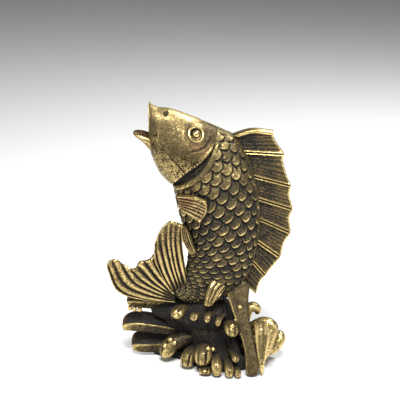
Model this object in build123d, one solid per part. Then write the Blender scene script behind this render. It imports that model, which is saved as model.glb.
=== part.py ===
from build123d import *
import bisect
import math
import os

# A cast brass ornament: a carp that leaps out of breaking waves. Millimetres, +Z up, the fish in
# the XZ plane with its head towards -X, and the origin on the foot's flat face, below the fish.

# Driving sizes of the whole figure
FIGURE_HEIGHT = 50.0
FIGURE_LENGTH = 34.5
FIGURE_DEPTH = 21.5
BODY_THICKNESS = 12.4
SEAT_CLEARANCE = 0.05
CUT_OVERRUN = 1.0

# The fish's body from the mouth to the tail's root. Each row is the belly's X and Z and the back's X
# and Z as shares of the figure's length and height, then the width as a share of the thickness.
BODY_SHARES = (
    (-0.313, 0.872, -0.311, 1.000, 0.37),
    (-0.311, 0.832, -0.270, 0.981, 0.48),
    (-0.291, 0.784, -0.200, 0.974, 0.63),
    (-0.259, 0.738, -0.117, 0.954, 0.79),
    (-0.223, 0.708, -0.024, 0.927, 0.89),
    (-0.190, 0.694, 0.070, 0.897, 0.91),
    (-0.174, 0.646, 0.145, 0.868, 0.94),
    (-0.158, 0.590, 0.209, 0.800, 0.98),
    (-0.137, 0.530, 0.248, 0.713, 1.00),
    (-0.112, 0.470, 0.274, 0.616, 0.97),
    (-0.111, 0.424, 0.278, 0.518, 0.90),
    (-0.117, 0.385, 0.258, 0.432, 0.81),
    (-0.127, 0.352, 0.226, 0.352, 0.71),
    (-0.139, 0.330, 0.162, 0.282, 0.61),
    (-0.156, 0.315, 0.075, 0.234, 0.53),
    (-0.178, 0.305, -0.029, 0.218, 0.45),
    (-0.203, 0.297, -0.150, 0.229, 0.35),
)
NECK_SHARE = 4.65
TAIL_ROOT_SHARE = 16.0

# Gills and the collar band behind them, with shares that count rows of the body's table
GILL_RISE = 0.45
GILL_START_SHARE = 0.80
COLLAR_RISE = 0.22

# Mouth, nostrils and the pin that joins head and trunk
MOUTH_WALL = 0.75
MOUTH_PLACE_SHARES = ((-0.30, 1.00), (0.10, 1.00), (0.50, 1.10), (0.90, 1.60), (1.15, 2.40))
NOSTRIL_RADIUS = 0.32
NOSTRIL_DEPTH = 1.2
NOSTRIL_PLACE_SHARE = 1.77
NOSTRIL_ANGLE = 29
NECK_PIN_RADIUS = 2.4
NECK_PIN_LENGTH = 3.0

# Lower jaw, whose scoop is a smaller copy of the jaw that is lifted out of it
JAW_SCOOP_RISE = 0.75
JAW_SCOOP_SHARE = 0.74

# Eyes
EYE_PLACE_SHARE = 3.86
EYE_ANGLE = 45
EYE_RING_RADIUS = 1.36
EYE_RING_WIRE = 0.30
EYE_BEAD_RADIUS = 0.70
EYE_PIN_RADIUS = 0.40
EYE_PIN_LENGTH = 1.3

# Scales in staggered rows, each raised to a rounded free edge towards the tail. A row is as long as a
# share of the body's half width, shorter at the neck.
SCALE_COLUMNS = 18
SCALE_ROW_SHARE = 0.30
NECK_ROW_SHARE = 0.22
FULL_ROW_SHARE = 3.0
SCALE_RELIEF = 0.28
SCALE_DISH = 0.10
SCALE_CORNER_SHARE = 0.35
SCALE_ARCH_SHARE = 0.85
SCALE_STEP_SHARE = 0.04

# Fins
FIN_ROOT_THICKNESS = 1.10
FIN_EDGE_THICKNESS = 0.60
FIN_RIB_HEIGHT = 0.18
FIN_PIN_RADIUS = 0.45
FIN_PIN_LENGTH = 1.6
SAIL_ARCH = 0.85
SAIL_RAY_HEIGHT = 0.07
SAIL_RIB_HEIGHT = 0.32
SAIL_SEAT_DEPTH = 1.20
SAIL_TENON_THICKNESS = 0.70
SAIL_TENON_SHARES = (6.2, 12.2)
SAIL_SLOT_EASE_SHARE = 0.02

# Waves
CLAW_WIDTH = 2.30
CLAW_THICKNESS = 1.80
CLAW_BLUNTNESS = 8
TONGUE_BLUNTNESS = 2.6
ARM_BLUNTNESS = 12
DROP_RADIUS = 0.45
SHELF_PIN_RADIUS = 1.20
SHELF_PIN_LENGTH = 5.0
SHELF_PIN_FOOT_SHARES = (-0.02, 0.18, 0.01)


def spot(x_share, z_share, y_share=0.0):
    """A point given by shares of the figure's length, height and depth."""
    return Vector(x_share * FIGURE_LENGTH, y_share * FIGURE_DEPTH, z_share * FIGURE_HEIGHT)


def between(rows, at):
    """The row of a table at a fractional place, on a smooth curve through the rows."""
    last = len(rows) - 1
    i = min(max(int(at), 0), last - 1)
    f = at - i
    lead = tuple(2 * a - b for a, b in zip(rows[0], rows[1]))
    tail = tuple(2 * a - b for a, b in zip(rows[last], rows[last - 1]))
    padded = (lead,) + tuple(rows) + (tail,)
    a, b, c, d = padded[i : i + 4]
    return tuple(
        0.5 * (2 * q + (r - p) * f + (2 * p - 5 * q + 4 * r - s) * f**2 + (3 * q - p - 3 * r + s) * f**3)
        for p, q, r, s in zip(a, b, c, d)
    )


def girth(at):
    """Middle, half height as a vector and half width of the body at a place along its table."""
    row = between(BODY_SHARES, at)
    belly = spot(row[0], row[1])
    back = spot(row[2], row[3])
    return (belly + back) / 2, (back - belly) / 2, row[4] * BODY_THICKNESS / 2


def skin(at, angle, rise=0.0):
    """A point of the body's skin, or above it; the angle runs from the back by the left flank."""
    middle, up, half = girth(at)
    tall = up.normalized() * ((up.length + rise) * math.cos(angle))
    return middle + tall - Vector(0, (half + rise) * math.sin(angle), 0)


def outward(at, angle):
    """The direction away from the body's middle on the skin."""
    middle, up, half = girth(at)
    across = Vector(0, -math.sin(angle) / half, 0)
    return (up.normalized() * (math.cos(angle) / up.length) + across).normalized()


def turn(count):
    """Equal steps of a full turn."""
    return [2 * math.pi * k / count for k in range(count)]


def hull(rings):
    """A closed solid in flat triangles through loops that have the same even count of points."""
    count = len(rings[0])
    corners = []
    for one, two in zip(rings, rings[1:]):
        for k in range(count):
            m = (k + 1) % count
            corners += [(one[k], one[m], two[m]), (one[k], two[m], two[k])]
    for ring, flip in ((rings[0], -1), (rings[-1], 1)):
        for k in range(count // 2 - 1):
            a, b, c, d = ring[k], ring[k + 1], ring[count - 2 - k], ring[count - 1 - k]
            corners += [(a, b, c)[::flip], (a, c, d)[::flip]]
    faces = []
    for a, b, c in corners:
        if (b - a).cross(c - a).length > 0 and min((b - a).length, (c - b).length, (a - c).length) > 0:
            faces.append(Face(Wire.make_polygon([a, b, c], close=True)))
    return Solid(Shell(faces))


def tube(points, side, widths, thicknesses, count):
    """A closed limb along a line of points, with elliptical sections that hold one side direction."""
    rings = []
    for i, point in enumerate(points):
        ahead = points[min(i + 1, len(points) - 1)] - points[max(i - 1, 0)]
        up = side.cross(ahead).normalized()
        rings.append(
            [
                point + side * (widths[i] / 2 * math.cos(a)) + up * (thicknesses[i] / 2 * math.sin(a))
                for a in turn(count)
            ]
        )
    return hull(rings)


def webbed(lines, ribs, steps, thin=1.0):
    """A ribbed fin across lines of points, root first; ribs holds each ray's height."""
    rays = len(ribs)
    count = len(lines[0])
    flat = [[v for point in line for v in tuple(point)] for line in lines]
    grid = []
    for k in range(steps + 1):
        row = between(flat, k / steps * (len(lines) - 1))
        points = [row[3 * i : 3 * i + 3] for i in range(count)]
        grid.append([Vector(*between(points, i / (rays - 1) * (count - 1))) for i in range(rays)])
    rings = []
    for k in range(steps + 1):
        front = []
        back = []
        for i in range(rays):
            along = grid[min(k + 1, steps)][i] - grid[max(k - 1, 0)][i]
            across = grid[k][min(i + 1, rays - 1)] - grid[k][max(i - 1, 0)]
            normal = along.cross(across).normalized()
            web = FIN_ROOT_THICKNESS + (FIN_EDGE_THICKNESS - FIN_ROOT_THICKNESS) * k / steps
            half = thin * web / 2 + ribs[i]
            front.append(grid[k][i] + normal * half)
            back.append(grid[k][i] - normal * half)
        rings.append(front + back[::-1])
    return hull(rings)


def every_second(ribs):
    """Rib heights for a number of ribs with a groove between each two."""
    return [FIN_RIB_HEIGHT * (1 - i % 2) for i in range(2 * ribs - 1)]


def placed(lines):
    """Lines of points given by shares of length, depth and height."""
    return [[spot(x, z, y) for x, y, z in line] for line in lines]


def pin(start, end, radius):
    """A round pin or hole between two points."""
    axis = end - start
    return Plane(origin=(start + end) / 2, z_dir=axis.normalized()) * Cylinder(radius, axis.length)


def largest(shape):
    """The largest solid of a shape."""
    return max(shape.solids(), key=lambda s: s.volume)


def mirrored(shape):
    """The same piece on the fish's other side."""
    return shape.mirror(Plane.XZ)


pieces = {}


def seat(name, shape, *others):
    """Cuts a piece to the ones that it rests against and keeps it."""
    for other in others:
        if shape.bounding_box().overlaps(other.bounding_box()):
            shape = largest(shape - other)
    pieces[name] = shape


# Trunk, with its scales sunk below the smooth skin
def row_lengths():
    """Places along the body's table and how many scale rows lie before each of them."""
    steps = round(50 * (TAIL_ROOT_SHARE - NECK_SHARE))
    places = [NECK_SHARE + (TAIL_ROOT_SHARE - NECK_SHARE) * i / steps for i in range(steps + 1)]
    rows = [0.0]
    for one, two in zip(places, places[1:]):
        grown = min((two - NECK_SHARE) / FULL_ROW_SHARE, 1)
        pitch = (NECK_ROW_SHARE + (SCALE_ROW_SHARE - NECK_ROW_SHARE) * grown) * girth(two)[2]
        rows.append(rows[-1] + (girth(two)[0] - girth(one)[0]).length / pitch)
    return places, rows


def make_trunk():
    """The trunk as one solid, each scale a raised tile with a rounded free edge."""
    places, rows = row_lengths()
    per_scale = 4
    angles = turn(per_scale * SCALE_COLUMNS)

    def place_of(row):
        i = min(max(bisect.bisect(rows, row), 1), len(rows) - 1)
        return places[i - 1] + (places[i] - places[i - 1]) * (row - rows[i - 1]) / (rows[i] - rows[i - 1])

    def across(row, k):
        return abs(2 * ((k / per_scale + (row % 2) / 2) % 1) - 1)

    def free_edge(row, k):
        return row + SCALE_CORNER_SHARE + SCALE_ARCH_SHARE * (1 - across(row, k) ** 3)

    rings = [[skin(NECK_SHARE, a) for a in angles]]
    for row in range(1, int(rows[-1]) - 1):
        for share, depth in ((SCALE_STEP_SHARE, SCALE_RELIEF), (1, 0)):
            ring = []
            for k, angle in enumerate(angles):
                start = free_edge(row - 1, k)
                place = place_of(start + share * (free_edge(row, k) - start))
                dish = SCALE_DISH * share * across(row, k) ** 2
                ring.append(skin(place, angle, -depth - dish))
            rings.append(ring)
    rings.append([skin(TAIL_ROOT_SHARE, a, -SCALE_DISH) for a in angles])
    return hull(rings)


def smooth_body(steps, rise):
    """The trunk without scales, grown outwards."""
    places = [NECK_SHARE + (TAIL_ROOT_SHARE - NECK_SHARE) * i / steps for i in range(steps + 1)]
    return hull([[skin(place, a, rise) for a in turn(32)] for place in places])


envelope = smooth_body(36, SEAT_CLEARANCE)
trunk = make_trunk()


# Head with gill covers that lap over the neck, an open mouth and nostrils. From the back to the belly,
# each row says how far past the neck the gill cover ends and the collar starts and ends.
GILL_SHARES = (
    (0.00, 0.03, 0.20),
    (0.05, 0.08, 0.27),
    (0.16, 0.20, 0.46),
    (0.31, 0.38, 0.73),
    (0.42, 0.56, 1.01),
    (0.43, 0.78, 1.24),
    (0.36, 0.92, 1.36),
    (0.17, 0.94, 1.36),
    (0.06, 0.80, 1.24),
    (0.06, 0.66, 1.06),
    (0.05, 0.52, 0.86),
    (0.02, 0.42, 0.72),
    (0.00, 0.38, 0.66),
)


def gill_places(angle):
    """Where the gill cover ends and the collar starts and ends on the body's table."""
    row = (len(GILL_SHARES) - 1) * math.acos(math.cos(angle)) / math.pi
    return [NECK_SHARE + share for share in between(GILL_SHARES, row)]


def head_rise(share):
    """How far the gill covers stand off the neck at a share of the head's length."""
    return GILL_RISE * max(0, (share - GILL_START_SHARE) / (1 - GILL_START_SHARE)) ** 2


def flank_socket(place, degrees, depth, radius):
    """A round hole into the left flank, with its mouth and its direction out of the skin."""
    mouth = skin(place, math.radians(degrees))
    out = outward(place, math.radians(degrees))
    return pin(mouth - out * depth, mouth + out * CUT_OVERRUN, radius), mouth, out


head_shares = [i / 18 for i in range(19)]
head = hull([
    [skin(gill_places(a)[0] * share, a, head_rise(share)) for a in turn(40)] for share in head_shares
])
mouth = hull([[skin(p, a, -MOUTH_WALL * grow) for a in turn(24)] for p, grow in MOUTH_PLACE_SHARES])
neck_middle, neck_up = girth(NECK_SHARE)[:2]
neck_axis = Vector(0, 1, 0).cross(neck_up).normalized()
neck_start = neck_middle - neck_axis * NECK_PIN_LENGTH
neck_end = neck_middle + neck_axis * NECK_PIN_LENGTH
neck_pin = pin(neck_start, neck_end, NECK_PIN_RADIUS)
neck_socket = pin(neck_start, neck_end + neck_axis * SEAT_CLEARANCE, NECK_PIN_RADIUS + SEAT_CLEARANCE)
eye_socket, eye_spot, eye_out = flank_socket(
    EYE_PLACE_SHARE, EYE_ANGLE, EYE_PIN_LENGTH, EYE_PIN_RADIUS + SEAT_CLEARANCE
)
nostril = flank_socket(NOSTRIL_PLACE_SHARE, NOSTRIL_ANGLE, NOSTRIL_DEPTH, NOSTRIL_RADIUS)[0]
head = largest(head - envelope)
head = largest(head - [mouth, nostril, mirrored(nostril), eye_socket, mirrored(eye_socket)])
head = largest(head + neck_pin)

# Lower jaw, a scooped lip below the open mouth. Each row is X and Z as shares of the figure's length
# and height, then the width and the height as shares of the body's thickness.
JAW_SHARES = (
    (-0.275, 0.846, 0.36, 0.33),
    (-0.310, 0.858, 0.38, 0.28),
    (-0.345, 0.873, 0.37, 0.17),
    (-0.375, 0.881, 0.31, 0.10),
    (-0.395, 0.885, 0.17, 0.04),
)
jaw_rows = [between(JAW_SHARES, i / 3) for i in range(13)]
jaw_points = [spot(x, z) for x, z, w, h in jaw_rows]
jaw_widths = [w * BODY_THICKNESS for x, z, w, h in jaw_rows]
jaw_heights = [h * BODY_THICKNESS for x, z, w, h in jaw_rows]
jaw = tube(jaw_points, Vector(0, 1, 0), jaw_widths, jaw_heights, 24)
scoop = tube(
    [point + Vector(0, 0, JAW_SCOOP_RISE) for point in jaw_points[:-1]],
    Vector(0, 1, 0),
    [JAW_SCOOP_SHARE * w for w in jaw_widths[:-1]],
    [JAW_SCOOP_SHARE * h for h in jaw_heights[:-1]],
    24,
)
pieces["head"] = head
seat("lower_jaw", largest(jaw - scoop), head)


# Collar band on the trunk behind the gills
def collar_point(share, angle, rise):
    """A point on the collar at a share of its width."""
    start, end = gill_places(angle)[1:]
    return skin(start + share * (end - start), angle, rise)


COLLAR_SHARES = ((0, 0), (0.05, 1), (0.5, 1), (0.95, 0.5), (1, 0))
collar_wall = COLLAR_RISE + SEAT_CLEARANCE
collar_profile = [(share, grow * collar_wall - SEAT_CLEARANCE) for share, grow in COLLAR_SHARES]
collar = hull([[collar_point(share, a, rise) for a in turn(40)] for share, rise in collar_profile])
seat("gill_collar", collar, envelope, head)


# Eyes, a bead inside a ring on each side
eye_plane = Plane(origin=eye_spot, z_dir=eye_out)
eye_pin = pin(eye_spot - eye_out * (EYE_PIN_LENGTH - SEAT_CLEARANCE), eye_spot, EYE_PIN_RADIUS)
eye_ring = largest(eye_plane * Torus(EYE_RING_RADIUS, EYE_RING_WIRE) - head)
eye_bead = largest(eye_plane * Sphere(EYE_BEAD_RADIUS) + eye_pin - head)
pieces["eye_ring_left"] = eye_ring
pieces["eye_left"] = eye_bead
pieces["eye_ring_right"] = mirrored(eye_ring)
pieces["eye_right"] = mirrored(eye_bead)


# Dorsal fin. Each row is a ray's root on the body's table and its tip as shares of length and height.
DORSAL_SHARES = (
    (5.55, 0.343, 0.894),
    (6.10, 0.348, 0.861),
    (6.70, 0.399, 0.806),
    (7.05, 0.394, 0.782),
    (7.40, 0.418, 0.721),
    (7.80, 0.440, 0.686),
    (8.25, 0.433, 0.648),
    (8.70, 0.452, 0.595),
    (9.10, 0.436, 0.558),
    (9.50, 0.444, 0.503),
    (9.95, 0.410, 0.459),
    (10.45, 0.392, 0.406),
    (10.90, 0.342, 0.359),
    (11.40, 0.313, 0.331),
    (11.90, 0.283, 0.303),
    (12.60, 0.263, 0.254),
)
MAIN_RAYS = (0, 2, 5, 7, 9, 11, 13)
RAYS_PER_ROW = 3
dorsal_roots = [skin(at, 0, -FIN_ROOT_THICKNESS / 2) for at, x, z in DORSAL_SHARES]
dorsal_tips = [spot(x, z) for at, x, z in DORSAL_SHARES]
dorsal_mids = [(a + b) / 2 for a, b in zip(dorsal_roots, dorsal_tips)]
dorsal_mids[0] = dorsal_mids[0] + Vector(0, 0, SAIL_ARCH)
dorsal_ribs = [SAIL_RAY_HEIGHT * (i % 2) for i in range(RAYS_PER_ROW * (len(DORSAL_SHARES) - 1) + 1)]
for row in MAIN_RAYS:
    dorsal_ribs[RAYS_PER_ROW * row] = SAIL_RIB_HEIGHT
dorsal = webbed([dorsal_roots, dorsal_mids, dorsal_tips], dorsal_ribs, 4)


def dorsal_tenon(clearance, ease):
    """A strip along the back, or with a clearance and a longer run the slot that it sits in."""
    start = SAIL_TENON_SHARES[0] - ease
    end = SAIL_TENON_SHARES[1] + ease
    places = [start + (end - start) * i / 20 for i in range(21)]
    edge = [skin(place, 0, FIN_EDGE_THICKNESS) for place in places]
    edge += [skin(place, 0, -SAIL_SEAT_DEPTH - clearance) for place in places[::-1]]
    strip = Face(Wire.make_polygon(edge, close=True))
    return extrude(strip, amount=SAIL_TENON_THICKNESS / 2 + clearance, dir=(0, 1, 0), both=True)


pieces["dorsal_fin"] = largest(largest(dorsal - envelope) + dorsal_tenon(0, 0))

# Paired fins, anal fin and tail lobes as lines of points across each fin, root first
PECTORAL_SHARES = (
    ((-0.154, -0.186, 0.676), (-0.142, -0.205, 0.648), (-0.125, -0.214, 0.620)),
    ((-0.081, -0.288, 0.686), (-0.075, -0.307, 0.646), (-0.078, -0.298, 0.604)),
    ((-0.009, -0.326, 0.670), (-0.009, -0.330, 0.628), (-0.043, -0.316, 0.586)),
)
PELVIC_SHARES = (
    ((-0.142, -0.121, 0.548), (-0.125, -0.140, 0.550), (-0.110, -0.153, 0.548)),
    ((-0.136, -0.149, 0.496), (-0.113, -0.172, 0.500), (-0.087, -0.186, 0.504)),
    ((-0.096, -0.167, 0.448), (-0.081, -0.177, 0.442), (-0.064, -0.181, 0.452)),
)
ANAL_SHARES = (
    ((0.026, -0.140, 0.344), (0.067, -0.140, 0.332), (0.075, -0.135, 0.300)),
    ((-0.003, -0.205, 0.316), (0.026, -0.214, 0.304), (0.052, -0.200, 0.280)),
    ((-0.023, -0.233, 0.252), (0.000, -0.242, 0.246), (0.020, -0.233, 0.254)),
)
UPPER_LOBE_SHARES = (
    (
        (-0.133, -0.047, 0.298),
        (-0.162, -0.056, 0.290),
        (-0.191, -0.056, 0.282),
        (-0.217, -0.051, 0.274),
        (-0.241, -0.042, 0.268),
    ),
    (
        (-0.118, -0.065, 0.396),
        (-0.166, -0.084, 0.402),
        (-0.205, -0.084, 0.386),
        (-0.236, -0.074, 0.364),
        (-0.262, -0.060, 0.336),
    ),
    (
        (-0.131, -0.107, 0.494),
        (-0.180, -0.130, 0.502),
        (-0.226, -0.130, 0.484),
        (-0.259, -0.107, 0.442),
        (-0.284, -0.084, 0.386),
    ),
    (
        (-0.139, -0.140, 0.546),
        (-0.193, -0.167, 0.562),
        (-0.249, -0.163, 0.538),
        (-0.284, -0.130, 0.484),
        (-0.301, -0.098, 0.418),
    ),
)
LOWER_LOBE_SHARES = (
    ((-0.200, -0.028, 0.306), (-0.190, -0.042, 0.272), (-0.180, -0.028, 0.242)),
    ((-0.284, -0.056, 0.366), (-0.301, -0.074, 0.300), (-0.304, -0.056, 0.244)),
    ((-0.354, -0.084, 0.400), (-0.377, -0.107, 0.326), (-0.388, -0.084, 0.256)),
    ((-0.430, -0.112, 0.384), (-0.455, -0.140, 0.336), (-0.472, -0.112, 0.286)),
    ((-0.490, -0.130, 0.410), (-0.514, -0.149, 0.376), (-0.530, -0.130, 0.334)),
    ((-0.522, -0.140, 0.416), (-0.536, -0.149, 0.408), (-0.547, -0.140, 0.390)),
)
sockets = [dorsal_tenon(SEAT_CLEARANCE, SAIL_SLOT_EASE_SHARE), neck_socket]
body_middles = [girth(NECK_SHARE + (TAIL_ROOT_SHARE - NECK_SHARE) * i / 60)[0] for i in range(61)]


def pinned_fin(lines, ribs, steps, thin=1.0):
    """A fin cut to the trunk with a pin at its root; the pin's socket is noted for the trunk."""
    points = placed(lines)
    fin = largest(webbed(points, every_second(ribs), steps, thin) - envelope)
    middle = len(points[0]) // 2
    root = (points[0][middle] * 2 + points[1][middle]) / 3
    target = min(body_middles, key=lambda place: (place - root).length)
    inward = (target - root).normalized()
    near = root
    while not envelope.is_inside(near) and (near - root).length < 3 * FIN_PIN_LENGTH:
        near = near + inward * (FIN_PIN_RADIUS / 2)
    end = near + inward * FIN_PIN_LENGTH
    sockets.append(pin(root, end + inward * SEAT_CLEARANCE, FIN_PIN_RADIUS + SEAT_CLEARANCE))
    return largest(fin + pin(root, end, FIN_PIN_RADIUS))


pieces["pectoral_fin_left"] = largest(pinned_fin(PECTORAL_SHARES, 6, 8) - pieces["gill_collar"])
pieces["pelvic_fin_left"] = pinned_fin(PELVIC_SHARES, 4, 8, 0.8)
sockets += [mirrored(socket) for socket in sockets[-2:]]
pieces["pectoral_fin_right"] = mirrored(pieces["pectoral_fin_left"])
pieces["pelvic_fin_right"] = mirrored(pieces["pelvic_fin_left"])
pieces["anal_fin"] = pinned_fin(ANAL_SHARES, 4, 8, 1.2)
seat("tail_fin_upper", pinned_fin(UPPER_LOBE_SHARES, 7, 12, 1.1), pieces["pelvic_fin_left"])
seat("tail_fin_lower", pinned_fin(LOWER_LOBE_SHARES, 6, 16, 1.1), pieces["tail_fin_upper"])


# Foot, wave core and shelf, stacked outlines of the breaking waves
FOOT_SHARES = (
    (-0.394, 0.070),
    (-0.359, -0.028),
    (-0.264, -0.074),
    (-0.177, -0.167),
    (-0.078, -0.335),
    (0.020, -0.447),
    (0.104, -0.465),
    (0.194, -0.465),
    (0.272, -0.391),
    (0.330, -0.205),
    (0.383, -0.009),
    (0.377, 0.186),
    (0.272, 0.363),
    (0.116, 0.437),
    (-0.072, 0.400),
    (-0.246, 0.260),
)
foot_loop = FOOT_SHARES[-1:] + FOOT_SHARES + FOOT_SHARES[:2]
foot_outline = [between(foot_loop, 1 + i / 2) for i in range(2 * len(FOOT_SHARES))]


def stack(levels):
    """A closed solid through the foot's outline at heights; each level is height, size, X and Y shift."""
    rings = []
    for z, size, dx, dy in levels:
        rings.append([spot(x * size + dx, z, y * size + dy) for x, y in foot_outline])
    return hull(rings)


FOOT_LEVELS_SHARES = ((0.000, 0.74, 0.000, 0.00), (0.010, 0.76, 0.000, 0.00), (0.030, 0.70, 0.000, 0.00))
CORE_LEVELS_SHARES = (
    (0.030, 0.62, -0.010, 0.01),
    (0.070, 0.52, -0.020, 0.02),
    (0.110, 0.50, -0.030, 0.02),
    (0.145, 0.50, -0.045, 0.02),
)
SHELF_LEVELS_SHARES = (
    (0.145, 0.50, -0.045, 0.02),
    (0.165, 0.56, -0.080, 0.02),
    (0.195, 0.56, -0.090, 0.02),
    (0.215, 0.48, -0.070, 0.02),
    (0.235, 0.30, -0.040, 0.02),
)
seat("base_plate", stack(FOOT_LEVELS_SHARES))
seat("wave_core", stack(CORE_LEVELS_SHARES))
shelf_pin_foot = spot(*SHELF_PIN_FOOT_SHARES)
shelf_pin_top = shelf_pin_foot + Vector(0, 0, SHELF_PIN_LENGTH)
shelf = largest(stack(SHELF_LEVELS_SHARES) - envelope)
shelf = largest(shelf + pin(shelf_pin_foot, shelf_pin_top, SHELF_PIN_RADIUS))
sockets.append(
    pin(shelf_pin_foot, shelf_pin_top + Vector(0, 0, SEAT_CLEARANCE), SHELF_PIN_RADIUS + SEAT_CLEARANCE)
)
pieces["upper_shelf"] = shelf
pieces["trunk"] = largest(trunk - sockets)

# Arms of water that follow hand-set lines. Each row is X, Y and Z as shares of the figure, then the
# width and the thickness as shares of a claw's.
ARM_SHARES = {
    "water_column": (
        (0.157, -0.056, 0.304, 2.10, 0.89),
        (0.165, -0.140, 0.248, 1.60, 0.72),
        (0.189, -0.251, 0.180, 1.12, 0.67),
        (0.220, -0.340, 0.116, 1.02, 0.78),
        (0.235, -0.405, 0.060, 1.16, 1.00),
        (0.234, -0.442, 0.004, 1.42, 1.06),
    ),
    "right_volute": (
        (0.258, -0.112, 0.120, 0.95, 0.89),
        (0.276, -0.205, 0.162, 1.20, 0.89),
        (0.287, -0.288, 0.178, 1.30, 0.89),
        (0.291, -0.352, 0.150, 1.25, 0.83),
        (0.286, -0.391, 0.100, 0.88, 0.72),
        (0.285, -0.419, 0.048, 0.50, 0.55),
        (0.286, -0.428, 0.006, 0.32, 0.42),
    ),
    "right_rim": (
        (0.235, -0.100, 0.140, 0.80, 0.90),
        (0.300, -0.130, 0.162, 0.95, 1.20),
        (0.345, -0.170, 0.150, 1.00, 1.40),
        (0.332, -0.200, 0.114, 1.00, 1.40),
        (0.316, -0.230, 0.076, 0.90, 1.15),
        (0.300, -0.260, 0.030, 0.70, 0.75),
    ),
    "right_shell": (
        (0.190, -0.020, 0.070, 1.60, 1.50),
        (0.275, -0.045, 0.046, 1.80, 1.70),
        (0.345, -0.060, 0.050, 1.80, 1.60),
        (0.392, -0.055, 0.080, 1.60, 1.40),
        (0.396, -0.050, 0.112, 1.20, 1.05),
    ),
    "small_curl": (
        (0.196, -0.112, 0.160, 0.90, 1.05),
        (0.209, -0.100, 0.198, 1.05, 1.10),
        (0.238, -0.090, 0.218, 1.10, 1.00),
        (0.268, -0.086, 0.210, 1.05, 0.85),
        (0.266, -0.084, 0.188, 0.85, 0.75),
    ),
    "back_leaf": (
        (0.133, 0.047, 0.132, 0.87, 0.78),
        (0.203, 0.084, 0.148, 0.96, 0.72),
        (0.243, 0.102, 0.144, 0.78, 0.61),
    ),
}
ACROSS = {"water_column": Vector(1, 0, 0), "right_volute": Vector(1, 0, 0)}

# Claws of water. Each row is the root and the tip as shares of length, depth and height, how far the
# claw humps up over its tip, its width and thickness as shares of a plain claw's, and its lean in
# degrees towards the viewer, which only the three broad tongues at the left have.
CLAW_SHARES = (
    ("lower_claw_01", (-0.087, -0.060, 0.088), (-0.235, -0.130, 0.016), 0.072, 1.40, 1.62, 0),
    ("lower_claw_02", (-0.075, -0.070, 0.040), (-0.116, -0.288, 0.010), 0.052, 1.20, 1.25, 0),
    ("lower_claw_03", (-0.014, -0.140, 0.056), (-0.029, -0.372, 0.032), 0.070, 1.45, 1.50, 0),
    ("lower_claw_04", (-0.012, -0.233, 0.018), (-0.017, -0.433, 0.010), 0.010, 1.00, 0.80, 0),
    ("lower_claw_05", (0.035, -0.209, 0.044), (0.046, -0.447, 0.006), 0.066, 0.90, 1.15, 0),
    ("lower_claw_06", (0.093, -0.233, 0.032), (0.113, -0.470, 0.006), 0.050, 0.74, 0.90, 0),
    ("lower_claw_07", (0.116, -0.209, 0.064), (0.148, -0.428, 0.058), 0.026, 0.60, 0.75, 0),
    ("lower_claw_08", (0.139, -0.279, 0.020), (0.159, -0.474, 0.006), 0.028, 0.58, 0.72, 0),
    ("lower_claw_09", (-0.087, 0.116, 0.050), (-0.220, 0.242, 0.008), 0.060, 1.13, 1.17, 0),
    ("lower_claw_10", (-0.029, 0.163, 0.050), (-0.104, 0.391, 0.008), 0.060, 1.13, 1.17, 0),
    ("lower_claw_11", (0.029, 0.163, 0.050), (0.023, 0.428, 0.008), 0.064, 1.17, 1.17, 0),
    ("lower_claw_12", (0.087, 0.163, 0.050), (0.142, 0.419, 0.008), 0.060, 1.13, 1.17, 0),
    ("lower_claw_13", (0.145, 0.116, 0.050), (0.267, 0.344, 0.008), 0.060, 1.17, 1.17, 0),
    ("upper_claw_01", (-0.087, 0.000, 0.194), (-0.174, -0.205, 0.190), 0.044, 1.10, 1.06, 0),
    ("upper_claw_02", (-0.043, -0.070, 0.188), (-0.078, -0.260, 0.192), 0.034, 0.70, 0.80, 0),
    ("upper_claw_03", (0.029, -0.093, 0.200), (-0.006, -0.279, 0.188), 0.040, 0.52, 0.61, 0),
    ("upper_claw_04", (0.087, -0.116, 0.190), (0.052, -0.302, 0.178), 0.040, 0.52, 0.61, 0),
    ("upper_claw_05", (0.104, -0.116, 0.150), (0.128, -0.344, 0.144), 0.052, 1.13, 1.22, 0),
    ("upper_claw_06", (-0.087, 0.093, 0.184), (-0.203, 0.260, 0.184), 0.040, 0.96, 1.00, 0),
    ("upper_claw_07", (-0.029, 0.116, 0.184), (-0.072, 0.344, 0.180), 0.040, 0.96, 1.00, 0),
    ("upper_claw_08", (0.043, 0.116, 0.180), (0.064, 0.353, 0.172), 0.040, 0.96, 1.00, 0),
    ("upper_claw_09", (0.101, 0.093, 0.160), (0.186, 0.298, 0.152), 0.040, 0.96, 1.00, 0),
    ("left_scroll", (-0.101, 0.056, 0.048), (-0.424, 0.040, 0.042), 0.018, 2.20, 0.90, 60),
    ("left_blade", (-0.101, 0.047, 0.094), (-0.472, 0.030, 0.112), 0.056, 2.00, 1.00, 46),
    ("left_crest", (-0.072, 0.056, 0.200), (-0.446, 0.050, 0.216), 0.018, 1.60, 0.90, 48),
)

# Drops on the water as shares of length, depth and height, each one part of the piece it sits on
DROP_SHARES = {
    "lower_claw_01": ((-0.206, -0.154, 0.096), (-0.183, -0.177, 0.087), (-0.234, -0.177, 0.076)),
    "lower_claw_03": ((-0.001, -0.341, 0.096), (0.025, -0.315, 0.088)),
    "upper_claw_01": ((-0.174, -0.226, 0.221), (-0.172, -0.243, 0.209)),
    "upper_claw_05": ((0.128, -0.346, 0.188),),
    "water_column": ((0.171, -0.190, 0.236),),
    "left_crest": ((-0.432, 0.006, 0.195), (-0.406, -0.001, 0.192), (-0.377, -0.004, 0.190)),
}


def rounded(share, bluntness):
    """How wide a claw is at a share of its length: slim at the root and round at the tip."""
    slim = 0.70 + 0.30 * math.sin(math.pi * min(share * 0.8, 0.5))
    return slim * math.sqrt(max(1 - share**bluntness, 0.02))


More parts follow.
